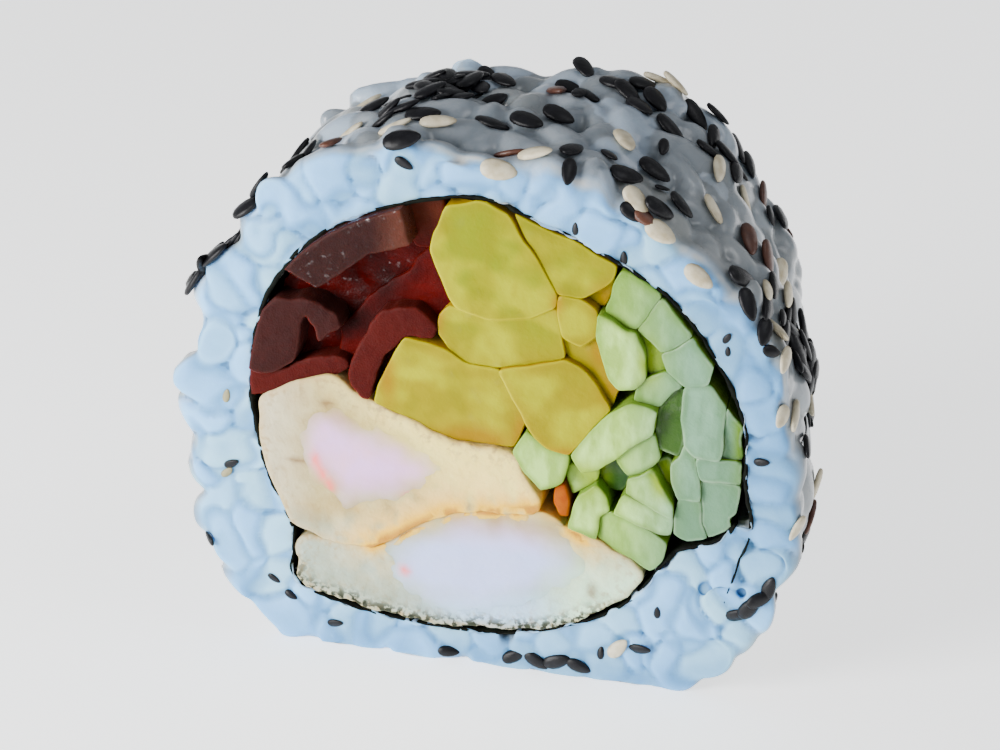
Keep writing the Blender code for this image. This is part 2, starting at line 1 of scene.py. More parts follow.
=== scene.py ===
# One slice of an inside-out roll: sticky rice with sesame round nori, tempura shrimp,
# pickled radish, cucumber and gourd. Shapes are worked out in millimetres on the slice:
# x to the right, y from the shown cut face to the back, z up from the roll's middle.
import math
import random

import bmesh
import bpy
import numpy as np
from mathutils import Matrix, Vector, noise
from mathutils.bvhtree import BVHTree
from mathutils.geometry import delaunay_2d_cdt
from mathutils.kdtree import KDTree


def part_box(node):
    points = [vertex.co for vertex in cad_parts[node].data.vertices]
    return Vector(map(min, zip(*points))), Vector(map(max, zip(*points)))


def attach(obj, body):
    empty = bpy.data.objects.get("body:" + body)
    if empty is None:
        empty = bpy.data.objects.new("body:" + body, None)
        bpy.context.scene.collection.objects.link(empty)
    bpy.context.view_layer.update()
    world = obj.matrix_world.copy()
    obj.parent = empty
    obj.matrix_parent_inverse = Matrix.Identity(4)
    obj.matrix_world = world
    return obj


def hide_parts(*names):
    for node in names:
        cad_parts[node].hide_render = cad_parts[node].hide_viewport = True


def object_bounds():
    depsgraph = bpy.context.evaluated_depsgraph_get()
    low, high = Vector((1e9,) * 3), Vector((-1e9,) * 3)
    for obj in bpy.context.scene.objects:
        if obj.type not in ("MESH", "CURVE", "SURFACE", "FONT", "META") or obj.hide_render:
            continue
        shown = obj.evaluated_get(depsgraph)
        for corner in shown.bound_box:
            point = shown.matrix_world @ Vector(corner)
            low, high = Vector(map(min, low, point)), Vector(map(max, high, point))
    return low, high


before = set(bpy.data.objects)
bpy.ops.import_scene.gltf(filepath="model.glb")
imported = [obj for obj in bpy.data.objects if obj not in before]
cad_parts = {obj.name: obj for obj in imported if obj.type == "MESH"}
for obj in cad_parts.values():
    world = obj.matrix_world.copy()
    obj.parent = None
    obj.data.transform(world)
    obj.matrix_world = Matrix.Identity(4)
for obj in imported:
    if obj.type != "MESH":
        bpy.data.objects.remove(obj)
cadLow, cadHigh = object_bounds()
print("frame loaded:", len(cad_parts), "nodes")
noise.seed_set(3)  # without it the noise vectors would change from run to run

metresPerMm = 0.001
mmPerMetre = 1000.0

piece = {
    "thickness": 23.0,
    "middleHeight": 24.5,
    "lean": 4.0,
    "leanStart": -10.0,
    "leanEnd": 27.0,
    "edgeRound": 2.2,
    "barrel": 0.5,
    "backSwells": [(57.0, 21.0, 2.7), (114.0, 24.0, -1.3)],
}
front = -piece["thickness"] / 2
back = piece["thickness"] / 2

riceOutline = [
    (27.0, 0.5), (26.2, 6.0), (24.0, 11.3), (19.8, 16.0), (13.5, 20.3), (6.0, 23.0),
    (-1.5, 24.2), (-9.0, 24.2), (-15.5, 21.5), (-20.3, 17.2), (-23.5, 11.3), (-25.6, 4.5),
    (-27.3, -3.0), (-26.4, -10.0), (-23.9, -16.5), (-20.3, -21.8), (-13.0, -24.4),
    (0.0, -24.9), (12.5, -25.0), (19.9, -22.2), (24.3, -17.8), (26.7, -12.0), (27.5, -6.0),
]

noriRoute = [
    (21.4, -15.2), (22.6, -11.2), (23.6, -7.6), (23.0, -2.5), (22.8, 2.2), (20.4, 7.6),
    (16.3, 12.9), (11.5, 15.9), (4.5, 18.9), (-0.7, 20.4), (-8.2, 18.9), (-15.0, 15.3),
    (-19.4, 10.0), (-21.4, 3.4), (-21.5, -1.5), (-20.3, -7.5), (-18.0, -13.3),
    (-17.5, -18.7), (-9.0, -20.9), (1.0, -21.1), (8.6, -18.9), (12.8, -16.3),
    (14.8, -13.7), (17.0, -10.8), (20.5, -9.3), (22.2, -7.4),
]
sheetStart = 2  # the points before this one are the loose tail
solidNori = {"perSpan": 3, "thickness": 0.5, "inset": 0.1}


# Curves and places

def splinePoint(a, b, c, d, t):
    return tuple(
        0.5 * (2 * q + (r - p) * t + (2 * p - 5 * q + 4 * r - s) * t * t
               + (3 * q - p - 3 * r + s) * t * t * t)
        for p, q, r, s in zip(a, b, c, d)
    )


def smoothLoop(points, perSpan):
    count = len(points)
    return [
        splinePoint(points[i - 1], points[i], points[(i + 1) % count], points[(i + 2) % count], k / perSpan)
        for i in range(count)
        for k in range(perSpan)
    ]


def smoothPath(points, perSpan):
    ends = [points[0], *points, points[-1]]
    made = [
        splinePoint(*ends[i:i + 4], k / perSpan)
        for i in range(len(points) - 1)
        for k in range(perSpan)
    ]
    return [*made, points[-1]]


def pathSides(line):
    # the direction square to an open line at each of its points
    line = np.array(line)
    along = np.gradient(line, axis=0)
    along /= np.linalg.norm(along, axis=1)[:, None]
    return np.stack([-along[:, 1], along[:, 0]], axis=1)


def leanShift(x, y):
    share = np.clip((x - piece["leanStart"]) / (piece["leanEnd"] - piece["leanStart"]), 0.0, 1.2)
    return -piece["lean"] * share * share * (y - front) / piece["thickness"]


def placeRaw(points):
    points = np.array(points, dtype=float)
    points[:, 0] += leanShift(points[:, 0], points[:, 1])
    points[:, 2] += piece["middleHeight"]
    return points * metresPerMm


def findShift():
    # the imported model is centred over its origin, so the box of its nori says how far it moved
    inset = solidNori["inset"]
    line = np.array(smoothPath(noriRoute, solidNori["perSpan"]))
    sides = pathSides(line) * solidNori["thickness"] / 2
    both = np.concatenate([line + sides, line - sides])
    section = np.column_stack([both[:, 0], np.full(len(both), front + inset), both[:, 1]])
    ends = np.concatenate([section, section + (0, piece["thickness"] - 2 * inset, 0)])
    placed = placeRaw(ends)
    low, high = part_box("nori")
    middle = (np.array(low) + np.array(high)) / 2
    return middle - (placed.min(axis=0) + placed.max(axis=0)) / 2


sliceShift = findShift()
print("slice shift in mm:", [round(v * mmPerMetre, 2) for v in sliceShift])


def place(points):
    return placeRaw(points) + sliceShift


def unplace(points):
    # from metres in the frame back to millimetres on the slice; the lean is kept as it is
    points = (np.array(points, dtype=float) - sliceShift) / metresPerMm
    points[:, 2] -= piece["middleHeight"]
    return points


def polar(x, z):
    # the angle round the roll's middle in degrees, and the distance from it
    return np.degrees(np.arctan2(z, x)), np.hypot(x, z)


def radiusTable(loop):
    angles, radii = polar(*np.array(loop).T)
    angles = angles % 360
    order = np.argsort(angles)
    return angles[order], radii[order]


def radiusAt(table, angle):
    return np.interp(np.asarray(angle) % 360, *table, period=360)


outerTable = radiusTable(smoothLoop(riceOutline, 24))
innerTable = radiusTable(smoothLoop(noriRoute[sheetStart:], 24))


# Meshes

def meshFrom(name, points, faces):
    mesh = bpy.data.meshes.new(name)
    mesh.from_pydata([tuple(p) for p in points], [], faces)
    mesh.update()
    return mesh


def faceOutward(mesh):
    shape = bmesh.new()
    shape.from_mesh(mesh)
    bmesh.ops.recalc_face_normals(shape, faces=shape.faces)
    shape.to_mesh(mesh)
    shape.free()
    return mesh


def addObject(name, mesh, material=None):
    made = bpy.data.objects.new(name, mesh)
    bpy.context.scene.collection.objects.link(made)
    if material:
        mesh.materials.clear()
        mesh.materials.append(material)
    return made


def dropObject(obj):
    bpy.data.objects.remove(obj)


def plainMesh(obj, name):
    bpy.context.view_layer.update()
    graph = bpy.context.evaluated_depsgraph_get()
    mesh = bpy.data.meshes.new_from_object(obj.evaluated_get(graph))
    mesh.name = name
    return mesh


def voxelMesh(meshes, voxel, name):
    # melts closed meshes into one skin
    joined = bmesh.new()
    for mesh in meshes:
        joined.from_mesh(mesh)
    whole = bpy.data.meshes.new(name)
    joined.to_mesh(whole)
    joined.free()
    obj = addObject(name, whole)
    remesh = obj.modifiers.new("melt", "REMESH")
    remesh.mode = "VOXEL"
    remesh.voxel_size = voxel
    remesh.adaptivity = 0.0
    made = plainMesh(obj, name)
    dropObject(obj)
    return made


def readPoints(mesh):
    points = np.empty(len(mesh.vertices) * 3)
    mesh.vertices.foreach_get("co", points)
    return points.reshape(-1, 3)


def writePoints(mesh, points):
    mesh.vertices.foreach_set("co", np.asarray(points, dtype=np.float32).ravel())
    mesh.update()


def readNormals(mesh):
    normals = np.empty(len(mesh.vertices) * 3)
    mesh.vertex_normals.foreach_get("vector", normals)
    return normals.reshape(-1, 3)


def readEdges(mesh):
    edges = np.empty(len(mesh.edges) * 2, dtype=np.int64)
    mesh.edges.foreach_get("vertices", edges)
    return edges.reshape(-1, 2)


def smoothed(points, edges, rounds, strength=0.5):
    count = np.bincount(edges.ravel(), minlength=len(points))[:, None]
    points = points.copy()
    for _ in range(rounds):
        total = np.zeros_like(points)
        for a, b in ((0, 1), (1, 0)):
            for axis in range(points.shape[1]):
                total[:, axis] += np.bincount(edges[:, a], points[edges[:, b], axis], len(points))
        points += (total / np.maximum(count, 1) - points) * strength
    return points


def blurred(values, edges, rounds):
    return smoothed(values[:, None], edges, rounds)[:, 0]


def paintValues(mesh, **layers):
    # values on the mesh's points, one for each point or one for all, which the materials read
    for name, values in layers.items():
        layer = mesh.attributes.new(name, "FLOAT", "POINT")
        layer.data.foreach_set("value", np.full(len(mesh.vertices), values, dtype=np.float32))


def noiseAt(points, size, seed, octaves=3):
    offset = Vector((seed * 13.7, seed * 7.3, seed * 3.1))
    return np.array([noise.fractal(Vector(p) / size + offset, 1.0, 2.0, octaves) for p in points])


# Materials

noStretch = (1.0, 1.0, 1.0)


def newTree(name, kind):
    return bpy.data.node_groups.new(name, kind)


def addNode(tree, kind, **values):
    node = tree.nodes.new(kind)
    for key, value in values.items():
        setattr(node, key, value)
    return node


def wiredNode(tree, kind, inputs, **values):
    # a node with each input set to a plain value or linked to another node's output
    node = addNode(tree, kind, **values)
    for key, value in inputs.items():
        if isinstance(value, bpy.types.NodeSocket):
            tree.links.new(value, node.inputs[key])
        else:
            node.inputs[key].default_value = value
    return node


def addSockets(tree, inputs, outputs):
    for name, kind, value in inputs:
        socket = tree.interface.new_socket(name, in_out="INPUT", socket_type=kind)
        if value is not None:
            socket.default_value = value
    for name, kind in outputs:
        tree.interface.new_socket(name, in_out="OUTPUT", socket_type=kind)
    return addNode(tree, "NodeGroupInput").outputs, addNode(tree, "NodeGroupOutput").inputs


def readValue(tree, name):
    return addNode(tree, "ShaderNodeAttribute", attribute_name=name).outputs["Fac"]


def mapValue(tree, value, low, high, toLow=0.0, toHigh=1.0, smooth=False):
    inputs = {"Value": value, "From Min": low, "From Max": high, "To Min": toLow, "To Max": toHigh}
    kind = "SMOOTHSTEP" if smooth else "LINEAR"
    return wiredNode(tree, "ShaderNodeMapRange", inputs, interpolation_type=kind).outputs[0]


def combine(tree, operation, value, *others):
    for other in others:
        value = wiredNode(tree, "ShaderNodeMath", {0: value, 1: other}, operation=operation).outputs[0]
    return value


def times(tree, *values):
    return combine(tree, "MULTIPLY", *values)


def mixColours(tree, factor, a, b):
    a, b = [(*colour, 1.0) if isinstance(colour, tuple) else colour for colour in (a, b)]
    return wiredNode(tree, "ShaderNodeMix", {"Factor": factor, 6: a, 7: b}, data_type="RGBA").outputs[2]


def overlaid(tree, colour, *layers):
    # further colours laid over the first, each by its own mask
    for mask, over in layers:
        colour = mixColours(tree, mask, colour, over)
    return colour


def feed(tree, shader, **values):
    for key, value in values.items():
        tree.links.new(value, shader.inputs[key.replace("_", " ")])


def mmCoordinates(tree):
    place = addNode(tree, "ShaderNodeTexCoord").outputs["Object"]
    inputs = {"Vector": place, "Scale": (mmPerMetre, mmPerMetre, mmPerMetre)}
    return wiredNode(tree, "ShaderNodeMapping", inputs).outputs["Vector"]


def placeValue(tree, axis):
    # millimetres from the origin along one axis
    place = addNode(tree, "ShaderNodeTexCoord").outputs["Object"]
    split = wiredNode(tree, "ShaderNodeSeparateXYZ", {0: place})
    return times(tree, split.outputs[axis], mmPerMetre)


def heightValue(tree):
    # millimetres above the roll's middle
    return combine(tree, "SUBTRACT", placeValue(tree, "Z"), piece["middleHeight"])


def patternPlace(tree, given):
    # stretched millimetres, and the scale at which a noise has patches of the given size
    inputs = {0: mmCoordinates(tree), 1: given["Stretch"]}
    stretched = wiredNode(tree, "ShaderNodeVectorMath", inputs, operation="MULTIPLY").outputs[0]
    return stretched, combine(tree, "DIVIDE", 1.0, given["Size"])


def noiseCloud(tree, place, scale, detail):
    inputs = {"Vector": place, "Scale": scale, "Detail": detail}
    return wiredNode(tree, "ShaderNodeTexNoise", inputs).outputs["Fac"]


def buildMottle():
    # soft patches: a mask that runs from 0 to 1 between two levels of a noise
    tree = newTree("mottle", "ShaderNodeTree")
    given, out = addSockets(
        tree,
        [("Size", "NodeSocketFloat", 2.0), ("Detail", "NodeSocketFloat", 3.0),
         ("Low", "NodeSocketFloat", 0.4), ("High", "NodeSocketFloat", 0.6),
         ("Stretch", "NodeSocketVector", noStretch)],
        [("Mask", "NodeSocketFloat")],
    )
    cloud = noiseCloud(tree, *patternPlace(tree, given), given["Detail"])
    tree.links.new(mapValue(tree, cloud, given["Low"], given["High"]), out["Mask"])
    return tree


def buildMoist():
    # the small unevenness of wet, cut food, as a normal
    finer = 4.3
    tree = newTree("moist skin", "ShaderNodeTree")
    given, out = addSockets(
        tree,
        [("Size", "NodeSocketFloat", 0.6), ("Depth", "NodeSocketFloat", 0.05),
         ("Fine share", "NodeSocketFloat", 0.3), ("Stretch", "NodeSocketVector", noStretch)],
        [("Normal", "NodeSocketVector")],
    )
    place, scale = patternPlace(tree, given)
    heights = [noiseCloud(tree, place, times(tree, scale, factor), 3.0) for factor in (1.0, finer)]
    inputs = {"Factor": given["Fine share"], 2: heights[0], 3: heights[1]}
    blend = wiredNode(tree, "ShaderNodeMix", inputs, data_type="FLOAT").outputs[0]
    depth = times(tree, given["Depth"], metresPerMm)
    bump = wiredNode(tree, "ShaderNodeBump", {"Distance": depth, "Height": blend})
    tree.links.new(bump.outputs["Normal"], out["Normal"])
    return tree


mottleGroup = buildMottle()
moistGroup = buildMoist()


def newMaterial(name, roughness, subsurface=0.0, reach=(1.0, 1.0, 1.0), specular=0.5, coatRoughness=0.12):
    made = bpy.data.materials.new(name)
    made.use_nodes = True
    shader = made.node_tree.nodes["Principled BSDF"]
    plain = {
        "Roughness": roughness, "Subsurface Weight": subsurface, "Subsurface Radius": reach,
        "Subsurface Scale": metresPerMm, "Specular IOR Level": specular, "Coat Roughness": coatRoughness,
    }
    for key, value in plain.items():
        shader.inputs[key].default_value = value
    return made, made.node_tree, shader


def addMottle(tree, size, low, high, detail=3.0, stretch=noStretch):
    inputs = {"Size": size, "Detail": detail, "Low": low, "High": high, "Stretch": stretch}
    return wiredNode(tree, "ShaderNodeGroup", inputs, node_tree=mottleGroup).outputs["Mask"]


def addMoist(tree, shader, size, depth, fineShare=0.3):
    inputs = {"Size": size, "Depth": depth, "Fine share": fineShare}
    node = wiredNode(tree, "ShaderNodeGroup", inputs, node_tree=moistGroup)
    feed(tree, shader, Normal=node.outputs["Normal"])


# the deep colours darken grains at random and are painted shade in grooves, seams, top, foot and right; the
# pit colour is painted shade; glow and cool are painted highlights; the right side colour is painted warm
# light
riceLook = {
    "faceTop": (0.245, 0.56, 0.95), "faceDeepAndShade": (0.085, 0.25, 0.48), "pit": (0.03, 0.06, 0.10),
    "sideTop": (0.38, 0.415, 0.45), "sideDeepAndShade": (0.155, 0.185, 0.215), "faceGlow": (0.46, 0.84, 1.0),
    "brow": (0.44, 0.45, 0.43), "rightSide": (0.42, 0.395, 0.325),
    "warm": (0.43, 0.40, 0.31), "cool": (0.42, 0.52, 0.64), "roughness": 0.28, "matteCut": 0.3,
    "wetSide": 0.65, "darkest": 0.9,
}


def riceMaterial():
    look = riceLook
    made, tree, shader = newMaterial("cooked rice", look["roughness"], 0.5, (0.9, 1.1, 1.3), 0.2,
                                     look["roughness"])
    cutFace = readValue(tree, "cutFace")
    tone = readValue(tree, "tone")
    height = heightValue(tree)
    across = placeValue(tree, "X")
    patches = addMottle(tree, 3.2, 0.42, 0.66)

    # each grain's colour, with painted shade in the grooves and seams between grains
    groove = mapValue(tree, readValue(tree, "groove"), -0.02, 0.12)
    seam = mapValue(tree, readValue(tree, "seam"), 0.0, 0.24, 0.8, 0.0)
    dip = combine(tree, "MAXIMUM", groove, seam)
    face = overlaid(
        tree, look["faceTop"],
        # some grains lighter at random: a painted highlight on a few grains
        (mapValue(tree, tone, 0.45, 0.95), look["faceGlow"]),
        (dip, look["faceDeepAndShade"]),
    )
    side = overlaid(
        tree, look["sideTop"],
        (dip, look["sideDeepAndShade"]),
        (mapValue(tree, tone, 0.72, 1.0), look["warm"]),
        # others lighter and bluer at random, also as painted highlights
        (mapValue(tree, tone, 0.3, 0.1), look["cool"]),
        # painted warm light on the outside towards the right
        (mapValue(tree, across, 12.0, 24.0, 0.0, 0.6), look["rightSide"]),
    )
    colour = mixColours(tree, cutFace, side, face)

    # darker in patches and in some grains at random, and painted shade at the top, at the foot and towards
    # the right
    shade = combine(
        tree, "ADD",
        mapValue(tree, combine(tree, "ADD", times(tree, patches, 0.35), tone), 0.0, 1.35, 0.0, 0.55),
        mapValue(tree, height, 6.0, 20.0, 0.0, 0.1),
        mapValue(tree, height, -19.5, -23.0, 0.0, 0.35),
        times(tree, mapValue(tree, height, 16.0, 24.0), mapValue(tree, cutFace, 0.0, 0.5, 0.3, 0.0)),
        times(tree, mapValue(tree, across, 15.0, 24.0, 0.0, 0.5), mapValue(tree, height, -16.0, -4.0)),
    )
    shade = combine(tree, "MINIMUM", shade, look["darkest"])

    # greyer where the upper right cut face turns over into the side
    toUpRight = combine(tree, "ADD", times(tree, across, 0.6), height)
    brow = times(
        tree,
        mapValue(tree, cutFace, 0.12, 0.4),
        mapValue(tree, cutFace, 0.9, 0.55),
        mapValue(tree, patches, 0.0, 0.7, 0.25, 0.85),
        mapValue(tree, toUpRight, 8.0, 20.0),
    )
    colour = overlaid(
        tree, colour,
        (shade, mixColours(tree, cutFace, look["sideDeepAndShade"], look["faceDeepAndShade"])),
        (brow, look["brow"]),
        # painted shade in the pits between grains
        (mapValue(tree, readValue(tree, "pit"), 0.45, 0.8, 0.0, 0.5), look["pit"]),
    )
    roughness = combine(
        tree, "ADD",
        mapValue(tree, patches, 0, 1, look["roughness"] - 0.08, look["roughness"] + 0.14),
        mapValue(tree, cutFace, 0, 1, 0.0, look["matteCut"]),
    )
    coat = mapValue(tree, cutFace, 0, 1, look["wetSide"], 0.0)
    feed(tree, shader, Base_Color=colour, Roughness=roughness, Coat_Weight=coat)
    addMoist(tree, shader, 0.9, 0.06)
    return made


def seedMaterial(name, look):
    made, tree, shader = newMaterial(name, look["roughness"], specular=look["specular"])
    patches = addMottle(tree, 0.9, 0.35, 0.7)
    feed(tree, shader, Base_Color=mixColours(tree, patches, look["top"], look["deep"]))
    addMoist(tree, shader, 0.35, 0.05, 0.4)
    return made


noriLook = {"dark": (0.0015, 0.0018, 0.0012), "green": (0.005, 0.007, 0.004)}


def noriMaterial():
    made, tree, shader = newMaterial("nori", 0.55, specular=0.06)
    patches = addMottle(tree, 1.1, 0.35, 0.7)
    feed(tree, shader, Base_Color=mixColours(tree, patches, noriLook["dark"], noriLook["green"]))
    addMoist(tree, shader, 0.4, 0.12, 0.5)
    return made


takuanLook = {
    "lower": (0.25, 0.228, 0.0), "upper": (0.165, 0.222, 0.0), "ripe": (0.27, 0.20, 0.0),
    "clouds": (0.37, 0.37, 0.0), "deep": (0.185, 0.165, 0.0), "fibres": (0.20, 0.165, 0.0),
    # the edge colour is a painted highlight; the near-edge, amber and wall colours are painted light passing
    # through the radish
    "nearEdge": (0.22, 0.155, 0.0), "edge": (0.38, 0.34, 0.0), "amber": (0.27, 0.145, 0.0),
    "wall": (0.36, 0.22, 0.0), "wet": 0.25,
}


def takuanMaterial():
    look = takuanLook
    made, tree, shader = newMaterial("pickled radish", 0.26, 0.3, (1.4, 1.2, 0.1), 0.05)
    rim = readValue(tree, "rim")
    colour = overlaid(
        tree, look["lower"],
        (mapValue(tree, heightValue(tree), 5.0, 12.0, smooth=True), look["upper"]),
        (mapValue(tree, readValue(tree, "tone"), 0.0, 1.0, 0.0, 0.5), look["ripe"]),
        (times(tree, addMottle(tree, 4.4, 0.42, 0.6, 1.5, (1.0, 1.0, 1.4)), 0.8), look["clouds"]),
        (times(tree, addMottle(tree, 3.4, 0.5, 0.68, 1.0, (1.3, 1.0, 0.8)), 0.5), look["deep"]),
        (times(tree, addMottle(tree, 1.1, 0.5, 0.74, 5.0, (1.0, 1.0, 0.45)), 0.3), look["fibres"]),
        # a soft orange band inside each edge: painted light passing through the radish
        (mapValue(tree, rim, 0.2, 1.6, 0.2, 0.0, smooth=True), look["nearEdge"]),
        # a thin bright line at each edge: a painted highlight
        (mapValue(tree, rim, 0.0, 0.25, 0.6, 0.0), look["edge"]),
        (readValue(tree, "amber"), look["amber"]),
        # the walls seen in the crevices painted orange: a painted glow of light through the radish
        (readValue(tree, "wall"), look["wall"]),
    )
    glints = mapValue(tree, addMottle(tree, 1.2, 0.62, 0.74), 0, 1, 0.0, look["wet"])
    feed(tree, shader, Base_Color=colour, Coat_Weight=glints)
    addMoist(tree, shader, 1.3, 0.12, 0.25)
    return made


# the sticks nearest the nori are bluer than those in the middle
cucumberLook = {
    "flesh": (0.09, 0.21, 0.025), "ripe": (0.20, 0.33, 0.03), "outerFlesh": (0.085, 0.19, 0.12),
    "core": (0.50, 0.78, 0.21), "outerCore": (0.33, 0.61, 0.44), "paleSkin": (0.10, 0.20, 0.012),
    "skin": (0.012, 0.05, 0.006), "lime": (0.23, 0.33, 0.008), "edge": (0.13, 0.20, 0.025),
    # the outer edge colour is a painted highlight, and the wall colour painted light in the gaps between
    # sticks
    "outerEdge": (0.27, 0.40, 0.25), "wall": (0.16, 0.28, 0.03), "wet": 0.5,
}


def cucumberMaterial():
    look = cucumberLook
    made, tree, shader = newMaterial("cucumber", 0.24, 0.35, (0.8, 1.2, 0.8), 0.15)
    green = readValue(tree, "green")
    tone = readValue(tree, "tone")
    rim = readValue(tree, "rim")
    outer = mapValue(tree, placeValue(tree, "X"), 12.5, 18.5)
    patches = addMottle(tree, 1.9, 0.38, 0.62, 3.0, (1.4, 0.4, 0.55))
    core = times(
        tree,
        mapValue(tree, rim, 0.0, 0.7, 0.35, 1.0, smooth=True),
        mapValue(tree, tone, 0.1, 1.0, 0.05, 0.95),
        mapValue(tree, patches, 0, 1, 0.3, 1.0),
        mapValue(tree, outer, 0, 1, 1.0, 0.6),
    )
    # a thin line along each edge, here and there: the stick's own colour in the middle, and a painted
    # highlight on the outer sticks
    edge = times(
        tree,
        mapValue(tree, rim, 0.0, 0.3, 0.6, 0.0),
        mapValue(tree, addMottle(tree, 1.6, 0.4, 0.6), 0, 1, 0.1, 1.0),
    )
    colour = overlaid(
        tree, mixColours(tree, tone, look["flesh"], look["ripe"]),
        (times(tree, outer, 0.85), look["outerFlesh"]),
        (core, mixColours(tree, outer, look["core"], look["outerCore"])),
        (mapValue(tree, green, 0.0, 0.5), look["paleSkin"]),
        (mapValue(tree, green, 0.45, 1.0), look["skin"]),
        (readValue(tree, "lime"), look["lime"]),
        (edge, mixColours(tree, outer, look["edge"], look["outerEdge"])),
        # the walls seen in the gaps lightened: painted light against the shade between sticks
        (readValue(tree, "wall"), look["wall"]),
    )
    glints = mapValue(tree, addMottle(tree, 0.8, 0.6, 0.74), 0, 1, 0.0, look["wet"])
    feed(tree, shader, Base_Color=colour, Coat_Weight=glints)
    addMoist(tree, shader, 0.9, 0.12, 0.3)
    return made


carrotLook = {"deep": (0.28, 0.05, 0.0), "light": (0.36, 0.09, 0.0)}


def carrotMaterial():
    made, tree, shader = newMaterial("carrot", 0.3, 0.3, (1.6, 0.7, 0.2), 0.08)
    patches = addMottle(tree, 0.8, 0.35, 0.7)
    feed(tree, shader, Base_Color=mixColours(tree, patches, carrotLook["deep"], carrotLook["light"]))
    addMoist(tree, shader, 0.7, 0.05)
    return made


# cream, peach beside the radish, paler and greener in the lower piece
batterLook = {
    "cream": (0.48, 0.40, 0.19), "tan": (0.39, 0.28, 0.10), "peach": (0.98, 0.80, 0.22),
    "white": (0.60, 0.56, 0.42), "lower": (0.36, 0.45, 0.38), "lowerDeep": (0.27, 0.34, 0.27),
    "milk": (0.40, 0.62, 0.88), "lowerRight": (0.54, 0.80, 0.58), "pores": (0.34, 0.24, 0.11),
    "edge": (0.50, 0.34, 0.13), "glow": (0.92, 0.62, 0.20), "gold": (0.82, 0.47, 0.03),
    "deepGold": (0.46, 0.20, 0.015), "mark": (0.17, 0.08, 0.025), "specks": (0.03, 0.035, 0.02),
}


def batterColour(tree):
    look = batterLook
    patches = addMottle(tree, 2.4, 0.36, 0.66, 4.0)
    across = placeValue(tree, "X")
    height = heightValue(tree)
    toRadish = combine(tree, "ADD", across, times(tree, height, 0.9))
    peach = times(
        tree,
        mapValue(tree, toRadish, -16.0, -5.5, smooth=True),
        mapValue(tree, height, -9.5, -7.0),
        0.8,
    )
    lower = overlaid(
        tree, mixColours(tree, patches, look["lower"], look["lowerDeep"]),
        (readValue(tree, "milk"), look["milk"]),
        (mapValue(tree, across, 4.0, 9.0), look["lowerRight"]),
    )
    return overlaid(
        tree, mixColours(tree, patches, look["cream"], look["tan"]),
        (peach, look["peach"]),
        (mapValue(tree, across, -15.0, -19.0, 0.0, 0.6), look["white"]),
        (times(tree, mapValue(tree, height, -10.5, -14.0), 0.9), lower),
    )


def batterMaterial():
    look = batterLook
    made, tree, shader = newMaterial("fried batter", 0.45, 0.35, (1.2, 0.9, 0.6), 0.15)
    rim = readValue(tree, "rim")
    gold = readValue(tree, "gold")
    pores = times(tree, addMottle(tree, 0.6, 0.51, 0.68, 4.0), mapValue(tree, rim, 0.2, 2.2, 0.75, 0.1))
    specks = times(tree, addMottle(tree, 0.55, 0.46, 0.54, 5.0), readValue(tree, "crumb"))
    colour = overlaid(
        tree, batterColour(tree),
        (pores, look["pores"]),
        (mapValue(tree, rim, 0.0, 0.7, 0.5, 0.0), look["edge"]),
        (readValue(tree, "glow"), look["glow"]),
        (mapValue(tree, gold, 0.0, 0.7), look["gold"]),
        (mapValue(tree, gold, 0.7, 0.95, 0.0, 0.9), look["deepGold"]),
        (readValue(tree, "mark"), look["mark"]),
        (specks, look["specks"]),
    )
    feed(tree, shader, Base_Color=colour)
    addMoist(tree, shader, 1.3, 0.24, 0.25)
    return made


shrimpLook = {
    "light": (0.72, 0.43, 0.76), "deep": (0.74, 0.44, 0.64), "lower": (0.46, 0.58, 0.93),
    "blush": (0.90, 0.14, 0.12), "gold": (0.74, 0.38, 0.02), "edgeWidth": 3.7,
}


def shrimpMaterial():
    look = shrimpLook
    made, tree, shader = newMaterial("cooked shrimp", 0.3, 0.45, (1.4, 0.8, 0.9), 0.2)
    patches = addMottle(tree, 2.6, 0.4, 0.66, 3.0)
    waves = mapValue(tree, addMottle(tree, 3.4, 0.3, 0.7, 1.0), 0, 1, -0.6, 0.6)
    uneven = combine(tree, "ADD", readValue(tree, "rim"), waves)
    colour = overlaid(
        tree, mixColours(tree, patches, look["light"], look["deep"]),
        (times(tree, mapValue(tree, heightValue(tree), -8.0, -13.0), 0.9), look["lower"]),
        (mapValue(tree, uneven, 0.0, look["edgeWidth"], 1.0, 0.0, smooth=True), batterColour(tree)),
        (readValue(tree, "blush"), look["blush"]),
        (readValue(tree, "gold"), look["gold"]),
    )
    feed(tree, shader, Base_Color=colour)
    addMoist(tree, shader, 1.4, 0.08, 0.25)
    return made


# deep, middle and pale strips each run between two colours, and edges from deep to pale
kanpyoLook = {
    "deep": ((0.070, 0.0012, 0.0004), (0.026, 0.0004, 0.0003)),
    "middle": ((0.056, 0.0056, 0.0040), (0.044, 0.0044, 0.0036)),
    "pale": ((0.023, 0.0074, 0.0066), (0.017, 0.0056, 0.0052)),
    "edges": ((0.085, 0.005, 0.002), (0.055, 0.016, 0.013)),
    # the paler colour at the right end of the top strip is a painted highlight, and the darkest one is
    # painted shadow in the folds
    "brown": (0.095, 0.026, 0.012), "lightEnd": (0.070, 0.022, 0.014), "sunk": (0.010, 0.0010, 0.0008),
}


